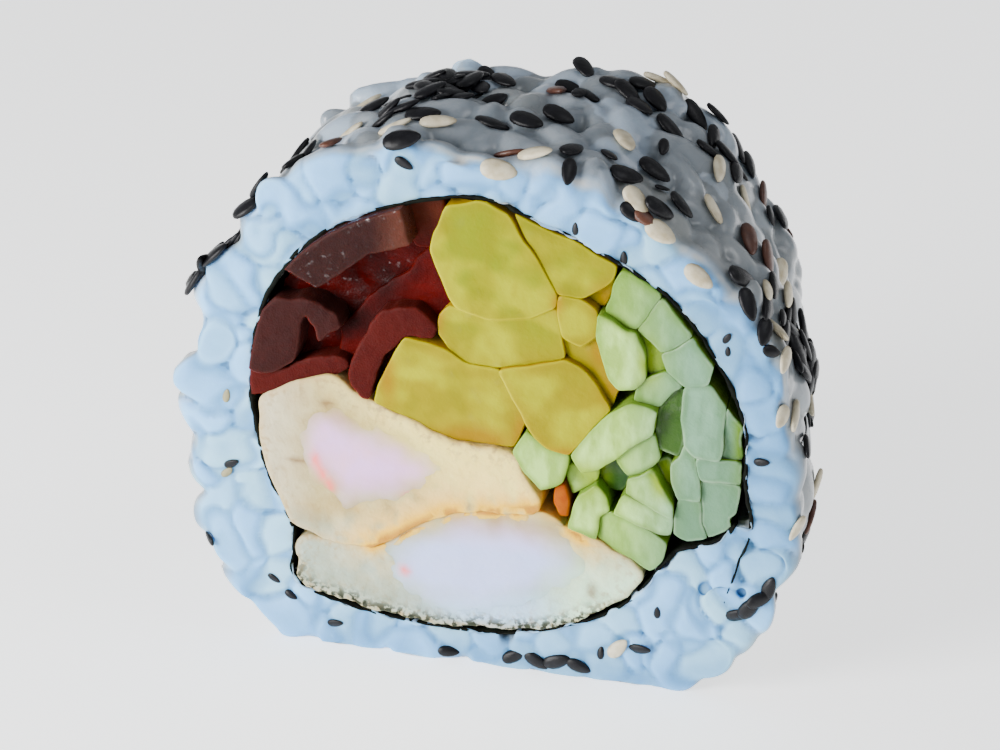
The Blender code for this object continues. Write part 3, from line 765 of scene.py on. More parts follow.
def kanpyoMaterial():
    look = kanpyoLook
    made, tree, shader = newMaterial("simmered gourd", 0.36, 0.3, (1.2, 0.2, 0.1), 0.04)
    tone = readValue(tree, "tone")
    rough = readValue(tree, "rough")
    patches = addMottle(tree, 2.2, 0.3, 0.75, 2.0)
    deep, middle, pale = [mixColours(tree, patches, *look[name]) for name in ("deep", "middle", "pale")]
    atTop = mapValue(tree, heightValue(tree), 15.0, 17.5)
    brown = times(tree, atTop, mapValue(tree, tone, 0.2, 0.4, 1.0, 0.0))
    # the top strip paler towards its right end: a painted highlight
    atRight = mapValue(tree, placeValue(tree, "X"), -9.5, -6.8)
    lightEnd = times(tree, atRight, mapValue(tree, tone, 0.9, 1.0))
    colour = overlaid(
        tree, deep,
        (mapValue(tree, tone, 0.1, 0.5), middle),
        (mapValue(tree, tone, 0.5, 1.0), pale),
        (mapValue(tree, readValue(tree, "rim"), 0.0, 0.3, 0.5, 0.0),
         mixColours(tree, tone, *look["edges"])),
        (brown, look["brown"]),
        (lightEnd, look["lightEnd"]),
        # painted shadow in the deepest folds
        (readValue(tree, "sunk"), look["sunk"]),
    )
    glints = times(tree, addMottle(tree, 0.55, 0.62, 0.73), rough)
    roughness = mapValue(tree, rough, 0, 1, 0.42, 0.24)
    feed(tree, shader, Base_Color=colour, Coat_Weight=glints, Roughness=roughness)
    addMoist(tree, shader, 0.7, 0.16, 0.4)
    return made


# Rice

riceShape = {
    "grainLength": 6.8, "grainWidth": 3.9, "grainHeight": 3.0, "sizeSpread": 0.24,
    "segments": 12, "rings": 8, "seed": 4, "voxel": 0.34,
    "sideSpacing": 3.3, "faceSpacing": 2.8, "sideTilt": 0.12, "faceTilt": 0.9,
    "coreDrop": 1.6, "grainSink": 1.05, "faceSink": 0.9, "rounder": 0.9, "roundest": 0.4,
    "outgrow": 0.45, "tallest": 0.3, "lump": 0.8, "lumpSize": 5.2,
    "rimSwells": [(222, 22, 1.1), (262, 20, 0.7), (178, 12, 0.5), (300, 14, 0.5)],
    "cutReach": 2.6, "cutShare": 0.35, "press": 0.4, "footPress": 0.5,
    "step": 0.24, "middleTone": 0.3, "seamDepth": 0.26, "seamWidth": 0.24,
    "pitWidth": 0.11, "pitDepth": 0.35, "pitSpacing": 2.6,
    "deepest": 0.8, "deepReach": 1.5, "fillShare": 0.85, "innerMargin": 1.2, "outerMargin": 1.6,
    "channel": 0.03, "ragged": 0.34,
}


def rimRound(angle):
    # the cut's rim is rounded above, and nearly sharp on the left and below
    turn = angle % 360
    sharp = min(max((turn - 95) / 30, 0), 1) * min(max((352 - turn) / 15, 0), 1)
    return piece["edgeRound"] * (1 - 0.65 * sharp)


def sectionPoints(angle, drop):
    # the ring's section at one angle, from the inner edge of the shown face round to the back
    gap, faceSteps, sideSteps = 0.4, 4, 10
    inner = float(radiusAt(innerTable, angle)) + gap
    outer = float(radiusAt(outerTable, angle)) - drop
    bend = rimRound(angle)
    low, high = front + drop, back - drop
    made = [(inner + (outer - bend - inner) * k / faceSteps, low) for k in range(faceSteps)]
    for k in range(faceSteps):
        turn = math.radians(90 * k / faceSteps)
        made.append((outer - bend * (1 - math.sin(turn)), low + bend * (1 - math.cos(turn))))
    for k in range(sideSteps + 1):
        depth = low + bend + (high - low - 2 * bend) * k / sideSteps
        made.append((outer + piece["barrel"] * math.sin(math.pi * k / sideSteps), depth))
    made += [(r, -y) for r, y in reversed(made[:2 * faceSteps])]
    swell = sum(size * math.exp(-(((angle - middle) / spread) ** 2))
                for middle, spread, size in piece["backSwells"])
    return [
        (r + swell * (y - front) / piece["thickness"] * (r - inner) / (outer - inner), y)
        for r, y in made
    ]


def ringPoint(angle, radius, y):
    turn = math.radians(angle)
    return radius * math.cos(turn), y, radius * math.sin(turn)


def ringMesh(name, drop, first, last, closed=False):
    # a band of the ring's section swept round the roll's middle
    count = 180
    points, faces = [], []
    for i in range(count):
        angle = 360 * i / count
        section = sectionPoints(angle, drop)[first:last]
        points += [ringPoint(angle, r, y) for r, y in section]
    wide = len(points) // count
    for i in range(count):
        a, b = i * wide, (i + 1) % count * wide
        for k in range(wide if closed else wide - 1):
            m = (k + 1) % wide
            faces.append((a + k, a + m, b + m, b + k))
    return faceOutward(meshFrom(name, points, faces))


def layCopies(tree, out, points, shape, rotation, scale, material):
    # one copy of the shape on each point, made real and given its material
    inputs = {"Points": points, "Instance": shape, "Rotation": rotation, "Scale": scale}
    laid = wiredNode(tree, "GeometryNodeInstanceOnPoints", inputs).outputs["Instances"]
    real = wiredNode(tree, "GeometryNodeRealizeInstances", {"Geometry": laid}).outputs["Geometry"]
    coloured = wiredNode(tree, "GeometryNodeSetMaterial", {"Geometry": real, "Material": material})
    tree.links.new(coloured.outputs["Geometry"], out["Geometry"])
    return tree


def buildScatter():
    # grains laid over a surface: evenly spaced, turned and tilted at random, made real
    densest = 4.0
    tree = newTree("lay grains", "GeometryNodeTree")
    given, out = addSockets(
        tree,
        [("Geometry", "NodeSocketGeometry", None), ("Spacing", "NodeSocketFloat", 2.5),
         ("Grain size", "NodeSocketVector", (3.0, 1.4, 1.2)), ("Size spread", "NodeSocketFloat", 0.15),
         ("Tilt", "NodeSocketFloat", 0.3), ("Sink", "NodeSocketFloat", 0.5), ("Seed", "NodeSocketInt", 1),
         ("Material", "NodeSocketMaterial", None)],
        [("Geometry", "NodeSocketGeometry")],
    )
    inputs = {"Density Max": densest, "Mesh": given["Geometry"], "Distance Min": given["Spacing"],
              "Seed": given["Seed"]}
    scatter = wiredNode(tree, "GeometryNodeDistributePointsOnFaces", inputs,
                        distribute_method="POISSON").outputs
    inputs = {0: scatter["Normal"], "Scale": times(tree, given["Sink"], -1.0)}
    lower = wiredNode(tree, "ShaderNodeVectorMath", inputs, operation="SCALE").outputs[0]
    sunk = wiredNode(tree, "GeometryNodeSetPosition", {"Geometry": scatter["Points"], "Offset": lower})

    inputs = {"Segments": riceShape["segments"], "Rings": riceShape["rings"], "Radius": 1.0}
    grain = wiredNode(tree, "GeometryNodeMeshUVSphere", inputs).outputs["Mesh"]
    shaped = wiredNode(tree, "GeometryNodeTransform", {"Geometry": grain, "Scale": given["Grain size"]})

    backwards = times(tree, given["Tilt"], -1.0)
    least = wiredNode(tree, "ShaderNodeCombineXYZ", {"X": backwards, "Y": backwards}).outputs[0]
    inputs = {"X": given["Tilt"], "Y": given["Tilt"], "Z": math.pi}
    most = wiredNode(tree, "ShaderNodeCombineXYZ", inputs).outputs[0]
    inputs = {"Min": least, "Max": most, "Seed": given["Seed"]}
    turn = wiredNode(tree, "FunctionNodeRandomValue", inputs, data_type="FLOAT_VECTOR").outputs["Value"]
    inputs = {"Rotation": scatter["Rotation"], "Rotate By": turn}
    rotation = wiredNode(tree, "FunctionNodeRotateRotation", inputs, rotation_space="LOCAL")

    smallest = combine(tree, "SUBTRACT", 1.0, given["Size spread"])
    biggest = combine(tree, "ADD", 1.0, given["Size spread"])
    inputs = {2: smallest, 3: biggest, "Seed": given["Seed"]}
    size = wiredNode(tree, "FunctionNodeRandomValue", inputs, data_type="FLOAT").outputs[1]
    return layCopies(tree, out, sunk.outputs["Geometry"], shaped.outputs["Geometry"],
                     rotation.outputs["Rotation"], size, given["Material"])


def runTree(tree, mesh, name, **values):
    # one pass of a Geometry Nodes tree over a mesh, back as a plain mesh
    obj = addObject(name, mesh)
    modifier = obj.modifiers.new(name, "NODES")
    modifier.node_group = tree
    for item in tree.interface.items_tree:
        key = item.name.replace(" ", "_")
        if item.in_out == "INPUT" and key in values:
            modifier[item.identifier] = values[key]
    made = plainMesh(obj, name)
    obj.modifiers.remove(modifier)
    dropObject(obj)
    return made


def layGrains(material):
    # grains round the side and over both cut faces
    shape = riceShape
    scatter = buildScatter()
    halfGrain = (shape["grainLength"] / 2, shape["grainWidth"] / 2, shape["grainHeight"] / 2)
    side = {"Spacing": shape["sideSpacing"], "Tilt": shape["sideTilt"], "Sink": shape["grainSink"]}
    face = {"Spacing": shape["faceSpacing"], "Tilt": shape["faceTilt"], "Sink": shape["faceSink"]}
    surfaces = [
        (ringMesh("rice side", 0.0, 5, -5), side),
        (ringMesh("rice face", 0.0, 0, 4), face),
        (ringMesh("rice back", 0.0, -4, None), face),
    ]
    return [
        runTree(scatter, surface, "grains", Grain_size=halfGrain, Size_spread=shape["sizeSpread"],
                Seed=shape["seed"] + number, Material=material, **values)
        for number, (surface, values) in enumerate(surfaces)
    ]


def grainFrames(mesh):
    # each laid grain's middle and its three half axes, read from its own points
    segments, rings = riceShape["segments"], riceShape["rings"]
    perGrain = 2 + segments * (rings - 1)
    points = readPoints(mesh).reshape(-1, perGrain, 3)
    middles = points.mean(axis=1)
    equator = 1 + segments * (rings // 2 - 1)
    ends = (0, equator, equator + segments // 4)
    return middles, np.stack([points[:, end] - middles for end in ends], axis=1)


def grainSeams(points, middles, axes):
    # which grain owns each point, and how near the point is to a second and a third grain
    tree = KDTree(len(middles))
    for number, middle in enumerate(middles):
        tree.insert(middle, number)
    tree.balance()
    near = np.array([[found[1] for found in tree.find_n(p, 7)] for p in points])
    away = points[:, None, :] - middles[near]
    own = axes[near]
    shares = (away[:, :, None, :] * own).sum(axis=3) / (own ** 2).sum(axis=3)
    reach = np.sqrt((shares ** 2).sum(axis=2))
    order = np.argsort(reach, axis=1)
    rows = np.arange(len(points))
    first, second, third = [reach[rows, order[:, place]] for place in range(3)]
    return near[rows, order[:, 0]], second - first, third - first


def softStop(values, limit, give):
    # values past the limit press flat against it
    over = np.maximum(values - (limit - give), 0)
    return np.where(over > 0, limit - give + give * np.tanh(over / give), values)


def grown(points, edges):
    # every bump of the skin made rounder, less so near the cut faces
    strength = np.clip((back - 1.0 - np.abs(points[:, 1])) / 1.5, 0, 1)[:, None] * riceShape["rounder"]
    crown = (points - smoothed(points, edges, 8)) * strength
    size = np.maximum(np.linalg.norm(crown, axis=1), 1e-6)
    roundest = riceShape["roundest"]
    return points + crown * (np.tanh(size / roundest) * roundest / size)[:, None]


def cutFlat(points):
    # depth behind the nearer cut face, with the grains that the knife met lying nearly flat
    angles, radii = polar(points[:, 0], points[:, 2])
    inset = np.clip((radiusAt(outerTable, angles) - radii - 0.4) / 1.6, 0, 1)
    depth = back - np.abs(points[:, 1])
    share = np.clip(depth / riceShape["cutReach"], 0, 1)
    eased = depth * (riceShape["cutShare"] + (1 - riceShape["cutShare"]) * share * share * (3 - 2 * share))
    return depth + (eased - depth) * inset


def pressFlat(points, tone, seam, hollow):
    # both cut faces pressed flat, with a step and a seam at each grain, and a flat spot to stand on
    shape = riceShape
    points[:, 1] = softStop(points[:, 1], back, shape["press"])
    points[:, 1] = -softStop(-points[:, 1], -front, shape["press"])
    points[:, 1] = np.sign(points[:, 1]) * (back - cutFlat(points))
    inward = np.where(points[:, 1] < 0, 1, -1) * np.clip((np.abs(points[:, 1]) - (back - 1.2)) / 0.8, 0, 1)
    points[:, 1] += inward * ((tone - shape["middleTone"]) * shape["step"]
                              + shape["seamDepth"] * np.exp(-((seam / shape["seamWidth"]) ** 2))
                              + shape["pitDepth"] * hollow)
    points[:, 2] = -softStop(-points[:, 2], piece["middleHeight"] - 0.03, shape["footPress"])


def fillDents(points, within):
    # deep dents between the grains of a cut face are nearly filled
    shape = riceShape
    deep = back - np.abs(points[:, 1]) - shape["deepest"]
    filled = np.where(within & (deep > 0) & (deep < shape["deepReach"]), deep * shape["fillShare"], 0.0)
    points[:, 1] += np.sign(points[:, 1]) * filled


def swellOut(points, angles, radii):
    # the outside is slowly uneven, and hangs lower and fuller in a few places
    shape = riceShape
    outside = np.clip((radii - radiusAt(innerTable, angles) - 0.8) / 2.0, 0, 1)
    swell = sum(size * np.exp(-(((angles - middle + 180) % 360 - 180) / spread) ** 2)
                for middle, spread, size in shape["rimSwells"])
    swell = swell * np.clip((np.abs(points[:, 1]) - 2.0) / 7.0, 0, 1)
    scale = 1 + outside * (noiseAt(points, shape["lumpSize"], 9, 1) * shape["lump"] + swell) / radii
    points[:, 0] *= scale
    points[:, 2] = np.maximum(points[:, 2] * scale, 0.02 - piece["middleHeight"])


def clearChannel(points, angles):
    # the nori's channel stays clear, with a ragged edge
    radii = np.hypot(points[:, 0], points[:, 2])
    flatter = np.stack([points[:, 0], points[:, 1] * 0.3, points[:, 2]], axis=1)
    uneven = noiseAt(flatter, 1.1, 8, 2) * riceShape["ragged"]
    least = radiusAt(innerTable, angles) + riceShape["channel"] + uneven
    push = np.maximum(least - radii, 0) / radii
    points[:, 0] += points[:, 0] * push
    points[:, 2] += points[:, 2] * push


def tamed(points, edges, tallest):
    # no point stands sharply out of the surface round it
    out = points - smoothed(points, edges, 6)
    size = np.maximum(np.linalg.norm(out, axis=1), 1e-6)
    return points - out * (np.maximum(size - tallest, 0) / size)[:, None]


def withinWidth(points, outgrow):
    # no lump reaches far past the solid's own width
    give = 0.6
    across = place(points)[:, 0] * mmPerMetre
    kept = softStop(across, cadHigh[0] * mmPerMetre + outgrow, give)
    kept = -softStop(-kept, -cadLow[0] * mmPerMetre + outgrow, give)
    points[:, 0] += kept - across
    return points


def cutShareOf(points, normals, within, edges):
    # 1 on the cut faces and 0 on the outside
    nearFace = np.clip((np.abs(points[:, 1]) - (back - 1.5)) / 1.1, 0, 1)
    outward = np.clip((np.abs(normals[:, 1]) - 0.2) / 0.5, 0, 1)
    share = nearFace * (0.1 + 0.9 * outward)
    share[within & (np.abs(points[:, 1]) > back - 1.8)] = 1.0
    return blurred(share, edges, 3)


def makeRice(material):
    shape = riceShape
    laid = layGrains(material)
    framed = [grainFrames(mesh) for mesh in laid]
    middles = np.concatenate([middle for middle, _ in framed])
    axes = np.concatenate([axis for _, axis in framed])
    print("rice grains laid:", len(middles))
    core = ringMesh("rice core", shape["coreDrop"], 0, None, closed=True)
    skin = voxelMesh([core, *laid], shape["voxel"], "rice")
    edges = readEdges(skin)
    points = grown(smoothed(readPoints(skin), edges, 3), edges)

    # each grain's own tone, and its own small step and seam on the cut faces
    draw = random.Random(shape["seed"])
    tones = np.array([draw.random() for _ in middles])
    owner, seam, pit = grainSeams(points, middles, axes)
    tone = blurred(tones[owner], edges, 1)
    seam = blurred(seam, edges, 1)
    some = np.clip(noiseAt(points, shape["pitSpacing"], 21, 2) * 3 + 0.5, 0, 1)
    hollow = np.exp(-((pit / shape["pitWidth"]) ** 2)) * some

    pressFlat(points, tone, seam, hollow)
    angles, radii = polar(points[:, 0], points[:, 2])
    within = ((radii > radiusAt(innerTable, angles) + shape["innerMargin"])
              & (radii < radiusAt(outerTable, angles) - shape["outerMargin"]))
    fillDents(points, within)
    swellOut(points, angles, radii)
    clearChannel(points, angles)
    points = tamed(smoothed(points, edges, 1), edges, shape["tallest"])
    points = withinWidth(points, shape["outgrow"])

    writePoints(skin, points)
    normals = readNormals(skin)
    paintValues(
        skin,
        groove=((smoothed(points, edges, 10) - points) * normals).sum(axis=1),
        tone=tone,
        seam=seam,
        pit=blurred(hollow, edges, 1),
        cutFace=cutShareOf(points, normals, within, edges),
    )
    surface = BVHTree.FromPolygons([tuple(p) for p in points], [tuple(f.vertices) for f in skin.polygons])
    writePoints(skin, place(points))
    skin.shade_smooth()
    rice = addObject("stickyRice", skin, material)
    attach(rice, "root")
    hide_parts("rice")
    print("rice skin:", len(skin.polygons) * 2, "triangles")
    return surface


# Sesame

seedShape = {"length": 3.3, "width": 1.95, "depth": 0.8, "sink": 0.12, "tilt": 0.2, "seed": 33,
             "apart": 1.3, "packed": 1.02, "faceSink": 0.32, "lowest": 0.75}
seedKinds = {
    "sesameBlack": {"top": (0.003, 0.003, 0.004), "deep": (0.007, 0.007, 0.009),
                    "roughness": 0.36, "specular": 0.2},
    "sesameCream": {"top": (0.61, 0.55, 0.40), "deep": (0.43, 0.36, 0.23),
                    "roughness": 0.42, "specular": 0.4},
    "sesameBrown": {"top": (0.085, 0.030, 0.016), "deep": (0.045, 0.014, 0.008),
                    "roughness": 0.4, "specular": 0.4},
    "sesameTan": {"top": (0.30, 0.27, 0.15), "deep": (0.20, 0.18, 0.09),
                  "roughness": 0.42, "specular": 0.3},
}
# seeds on the outside: angle round the roll, depth behind the cut face, heading of the long
# side (0 runs front to back, 90 runs round the roll), and size
seedRows = {
    "sesameBlack": [
        (107, 0.9, 85, 1.05), (133, 4.5, 30, 0.8), (138, 8, 60, 0.7), (137.5, 1.3, 95, 0.9),
        (142.5, 1.3, 85, 1), (131, 6.5, 20, 0.8), (134, 12, 60, 1), (137, 10, 45, 1),
        (136, 15, 50, 1), (126, 16, 15, 1), (120, 11.3, 60, 0.9),
        (117, 12.3, 70, 1), (115.6, 9.2, 90, 1), (115.5, 7.2, 100, 0.9), (112, 8.6, 90, 1),
        (110.4, 7.6, 80, 1), (107.6, 7.4, 90, 1), (103, 19.5, 140, 0.9), (97.7, 17.4, 130, 1),
        (97.2, 13.4, 60, 0.8), (93.5, 7.1, 95, 1), (86.5, 7.9, 105, 1), (81.2, 10.2, 100, 0.95),
        (83.3, 18, 100, 0.9), (82, 20.4, 140, 0.95), (78.4, 16.2, 110, 0.9), (79.5, 14.6, 30, 0.6),
        (74.7, 3.9, 20, 0.95), (73.5, 1.3, 160, 0.8), (73.8, 18, 110, 1), (70.6, 17, 120, 1),
        (66.8, 14.9, 125, 1), (64.6, 17.2, 130, 1), (68.6, 19.4, 60, 0.9), (59.3, 14.2, 105, 1.1),
        (59.1, 10.4, 170, 0.6), (67.6, 5.3, 140, 0.7), (62.9, 3.9, 60, 1), (58.4, 6.7, 100, 1),
        (55.3, 5.2, 70, 0.45), (58.5, 0.8, 95, 0.7), (54.3, 2.2, 60, 1.05), (50.8, 4.5, 85, 0.9),
        (55.9, 19.4, 110, 1.05), (50.9, 17.4, 165, 0.9), (50.3, 14.3, 90, 1), (46.8, 16.2, 95, 1),
        (42.8, 18.2, 110, 1), (43.7, 14.8, 170, 0.9), (52, 20.9, 100, 0.9), (44, 21.6, 130, 1),
        (40, 21.3, 150, 1), (28.5, 19.6, 170, 1.15), (31.6, 17.4, 100, 0.6), (27.3, 6.2, 165, 1),
        (34, 2.5, 40, 1.1), (30, 1, 120, 0.9), (26.6, 2.6, 170, 1), (24, 0.9, 160, 0.8),
        (21.6, 5.4, 165, 0.6), (18.8, 5, 160, 1), (13, 5.5, 170, 1), (20.5, 0.7, 30, 0.6),
        (-0.5, 6.2, 165, 0.9), (-1, 2.8, 170, 0.9), (-3.4, 8.4, 150, 1), (-4, 12.2, 170, 1),
        (-7, 15, 160, 1), (-11, 18, 170, 1), (2.4, 11.2, 170, 1), (-34, 4.6, 60, 1),
        (-82.6, 0.1, 60, 1), (-78.4, 0.1, 10, 0.9),
        (-68.8, 0.15, 60, 0.9), (-66, 0.3, 20, 0.7), (-92.6, 0.1, 80, 0.7), (-122, 0.2, 70, 0.6),
        (-149, 0.6, 20, 0.55), (143, 15, 30, 1), (147, 19, 60, 1), (150, 11, 20, 1), (154, 16, 70, 1),
        (156, 7, 40, 1), (160.5, 5.5, 60, 1), (163.5, 8, 40, 1), (161, 11, 80, 1),
    ],
    "sesameCream": [
        (80.8, 2, 100, 1.05), (87.5, 0.4, 90, 1), (102.4, 4.5, 85, 1), (110.6, 4, 90, 1),
        (66.3, 8, 150, 1.05), (58.8, 1.7, 120, 0.9), (44.5, 7.4, 90, 1), (51.4, 0.7, 80, 0.9),
        (47.5, 12.8, 160, 0.9), (38, 15, 110, 1), (23.7, 12.6, 165, 1.1), (22.6, 9, 170, 1),
        (21.3, 3, 165, 1.1), (28.4, 4.1, 170, 0.8), (12.6, 9.8, 170, 1), (5.5, 2.3, 165, 1.15),
        (7.4, 0.4, 160, 0.7), (3, 7.6, 165, 1), (-8, 19, 170, 1), (17.6, 1.4, 150, 0.8),
        (40, 0.2, 60, 0.9), (-14.6, 0.9, 130, 0.8), (-99.5, 0.1, 80, 0.9), (62.6, 20.4, 110, 1),
        (66, 21.3, 90, 1), (122.8, 7.4, 90, 0.9), (129, 18.6, 40, 1),
    ],
    "sesameBrown": [
        (86.6, 2.9, 110, 0.95), (84.6, 15.4, 150, 1), (121.6, 1.8, 20, 0.8), (35.4, 8.5, 150, 1),
        (30.6, 8.9, 120, 1), (34.6, 19.4, 150, 0.95), (-73.6, 0.1, 30, 0.9), (55.6, 0.9, 100, 0.7),
        (24, 22, 160, 0.9),
    ],
}
# black seeds packed together: middle angle and depth, reach in degrees and in depth, tries
seedClumps = [(107.0, 14.6, 6.2, 3.7, 110), (11.0, 9.2, 8.0, 3.2, 85), (155.5, 1.9, 8.5, 1.0, 45)]
# the sides turned away: middle angle, spread, clumps and lone seeds
seedFill = [(153.0, 13.0, 4, 8), (187.0, 18.0, 2, 8), (-22.0, 9.0, 1, 5), (211.0, 8.0, 0, 3)]
fillClump = (7.5, 4.2, 15)  # reach in degrees and in depth, tries
loneKinds = ("sesameBlack", "sesameBlack", "sesameCream", "sesameCream", "sesameBrown")
# seeds in the cut face: place on it, heading from upright, and size
faceSeeds = {
    "sesameBlack": [
        (-23.6, -7.7, 60, 0.48), (21.1, 10.1, 30, 0.36), (21.2, 8.9, 0, 0.28), (24.4, -1.1, 80, 0.45),
        (7.8, 18.6, 0, 0.35), (12.0, 16.3, 0, 0.4), (-7.3, 22.8, 120, 0.55), (14.0, -20.7, 80, 0.65),
        (15.5, -16.8, 0, 0.35), (-19.9, -18.7, 120, 0.4), (-18.3, -20.1, 120, 0.4), (10.4, -21.7, 0, 0.4),
        (2.4, -23.3, 60, 0.7), (4.5, -23.5, 120, 0.75), (6.4, -23.2, 70, 0.8), (8.4, -23.4, 110, 0.7),
        (-3.6, -23.7, 90, 0.6), (-14.2, -22.4, 75, 0.5),
        (22.7, -16.1, 60, 0.8), (23.7, -15.1, 35, 0.85), (24.6, -14.2, 70, 0.8), (25.3, -13.2, 20, 0.75),
    ],
    "sesameCream": [(12.0, -20.9, 40, 0.75)],
    "sesameTan": [(-23.9, -1.1, 10, 0.4), (-24.1, -8.7, 40, 0.45)],
}


def seedMesh():
    # a flat drop with a pointed end and a low ridge round its rim
    stations = [(0.0, 0.0), (0.03, 0.24), (0.12, 0.52), (0.3, 0.84), (0.52, 1.0), (0.74, 0.97), (0.9, 0.72),
                (0.975, 0.4), (1.0, 0.0)]
    sides = 8
    length, width, depth = seedShape["length"], seedShape["width"], seedShape["depth"]
    points = [(0.5 * length, 0, 0)]
    for at, wide in stations[1:-1]:
        for k in range(sides):
            turn = math.tau * k / sides
            deep = wide ** 0.7 * depth / 2
            points.append(((0.5 - at) * length, wide * width / 2 * math.cos(turn),
                           deep * math.sin(turn) * (1.0 - 0.12 * abs(math.sin(turn)))))
    points.append((-0.5 * length, 0, 0))
    faces = [(0, 1 + k, 1 + (k + 1) % sides) for k in range(sides)]
    rings = len(stations) - 2
    for r in range(rings - 1):
        for k in range(sides):
            a, b = 1 + r * sides, 1 + (r + 1) * sides
            m = (k + 1) % sides
            faces.append((a + k, b + k, b + m, a + m))
    last = 1 + (rings - 1) * sides
    faces += [(len(points) - 1, last + (k + 1) % sides, last + k) for k in range(sides)]
    mesh = meshFrom("sesame seed", points, faces)
    mesh.shade_smooth()
    return mesh


def buildSprinkle():
    # one seed on each point of a cloud, turned and sized by the point's own values
    tree = newTree("sprinkle seeds", "GeometryNodeTree")
    given, out = addSockets(
        tree,
        [("Geometry", "NodeSocketGeometry", None), ("Seed shape", "NodeSocketObject", None),
         ("Overall size", "NodeSocketFloat", 1.0), ("Material", "NodeSocketMaterial", None)],
        [("Geometry", "NodeSocketGeometry")],
    )
    shape = wiredNode(tree, "GeometryNodeObjectInfo", {"Object": given["Seed shape"]})
    turn, size = [
        wiredNode(tree, "GeometryNodeInputNamedAttribute", {"Name": name}, data_type="FLOAT_VECTOR")
        for name in ("turn", "size")
    ]
    inputs = {0: size.outputs["Attribute"], "Scale": given["Overall size"]}
    scale = wiredNode(tree, "ShaderNodeVectorMath", inputs, operation="SCALE").outputs[0]
    rotation = wiredNode(tree, "FunctionNodeEulerToRotation", {"Euler": turn.outputs["Attribute"]})
    return layCopies(tree, out, given["Geometry"], shape.outputs["Geometry"],
                     rotation.outputs["Rotation"], scale, given["Material"])


def dropSeed(surface, angle, depth):
    # straight in on to the rice, from outside or over the rounded rim of the cut face
    startAway = 6
    turn = math.radians(angle)
    out = Vector((math.cos(turn), 0, math.sin(turn)))
    bend = rimRound(angle)
    roll = math.acos(max(0.0, 1 - max(0.0, depth) / bend))
    target = out * (float(radiusAt(outerTable, angle)) - bend * (1 - math.sin(roll)))
    target.y = front + depth
    out = out * math.sin(roll) + Vector((0, -math.cos(roll), 0))
    point, normal = surface.ray_cast(target + out * startAway, -out)[:2]
    return point, normal, out


def planSeeds(draw):
    # kind, angle, depth, heading, size and how high each seed is piled
    plan = [(kind, *row, 0.0) for kind, rows in seedRows.items() for row in rows]
    clumps = list(seedClumps)
    for middle, spread, packed, lone in seedFill:
        for _ in range(packed):
            clumps.append((middle + draw.uniform(-spread, spread), draw.uniform(9, 19), *fillClump))
        for _ in range(lone):
            kind = draw.choice(loneKinds)
            plan.append((kind, middle + draw.uniform(-spread, spread), draw.uniform(8, 21),
                         draw.uniform(0, 180), draw.uniform(0.9, 1.05), 0.0))
    for angle, depth, wide, deep, tries in clumps:
        for _ in range(tries):
            turn, reach = draw.uniform(0, math.tau), draw.random() ** 0.75
            plan.append(("sesameBlack", angle + math.cos(turn) * reach * wide,
                         depth + math.sin(turn) * reach * deep, draw.gauss(105, 38),
                         draw.uniform(0.9, 1.1), draw.uniform(0.02, 0.2)))
    return plan


def seedAxes(up, aim, draw):
    # a seed's up side, tilted a little at random, and its three axes
    up = (up + Vector([draw.gauss(0, seedShape["tilt"] * 0.5) for _ in range(3)])).normalized()
    along = (aim - up * aim.dot(up)).normalized()
    return up, Matrix([list(row) for row in zip(along, up.cross(along), up)])


def layOutside(surface, draw, placed):
    taken = []
    for kind, angle, depth, heading, scale, piled in planSeeds(draw):
        point, normal, out = dropSeed(surface, angle, depth)
        if point is None or point.z < -piece["middleHeight"] + seedShape["lowest"]:
            continue
        apart = seedShape["apart"] if piled == 0 else seedShape["packed"]
        if any((other - point).length < apart * min(scale, size) for other, size in taken):
            continue
        taken.append((point, scale))
        turn, around = math.radians(heading), math.radians(angle)
        aim = Vector((math.sin(turn) * math.sin(around), math.cos(turn), -math.sin(turn) * math.cos(around)))
        up, axes = seedAxes((normal * 0.55 + out * 0.45).normalized(), aim, draw)
        at = point + up * (seedShape["depth"] / 2 - seedShape["sink"] + piled)
        placed[kind].append((at, axes, (scale, scale * draw.uniform(0.88, 1.06), scale)))


def layOnFace(surface, draw, placed, side):
    # side is 1 for the shown face and -1 for the hidden one, which mirrors it
    for kind, rows in faceSeeds.items():
        for x, z, heading, scale in rows:
            start = Vector((x * side, side * (front - 10), z))
            point, normal = surface.ray_cast(start, Vector((0, side, 0)))[:2]
            if point is None:
                continue
            turn = math.radians(heading * side)
            lies = (Vector((0, -side, 0)) + normal).normalized()
            up, axes = seedAxes(lies, Vector((math.sin(turn), 0, math.cos(turn))), draw)
            at = point + up * (seedShape["depth"] / 2 - seedShape["faceSink"]) * scale
            placed[kind].append((at, axes, (scale, scale * 0.9, scale)))


def sprinkleSesame(surface):
    draw = random.Random(seedShape["seed"])
    placed = {kind: [] for kind in seedKinds}
    layOutside(surface, draw, placed)
    layOnFace(surface, draw, placed, 1)
    layOnFace(surface, draw, placed, -1)
    seedSource = addObject("seed source", seedMesh())
    tree = buildSprinkle()
    for kind, look in seedKinds.items():
        material = seedMaterial(kind + " skin", look)
        cloud = meshFrom(kind, [at for at, _, _ in placed[kind]], [])
        turns = cloud.attributes.new("turn", "FLOAT_VECTOR", "POINT")
        sizes = cloud.attributes.new("size", "FLOAT_VECTOR", "POINT")
        for number, (_, axes, size) in enumerate(placed[kind]):
            turns.data[number].vector = Vector(axes.to_euler())
            sizes.data[number].vector = Vector(size)
        mesh = runTree(tree, cloud, kind + " laid", Seed_shape=seedSource, Overall_size=1.0,
                       Material=material)
        writePoints(mesh, place(readPoints(mesh)))
        made = addObject(kind, mesh, material)
        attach(made, "root")
        print(kind, len(placed[kind]), "seeds")
    dropObject(seedSource)


# Nori

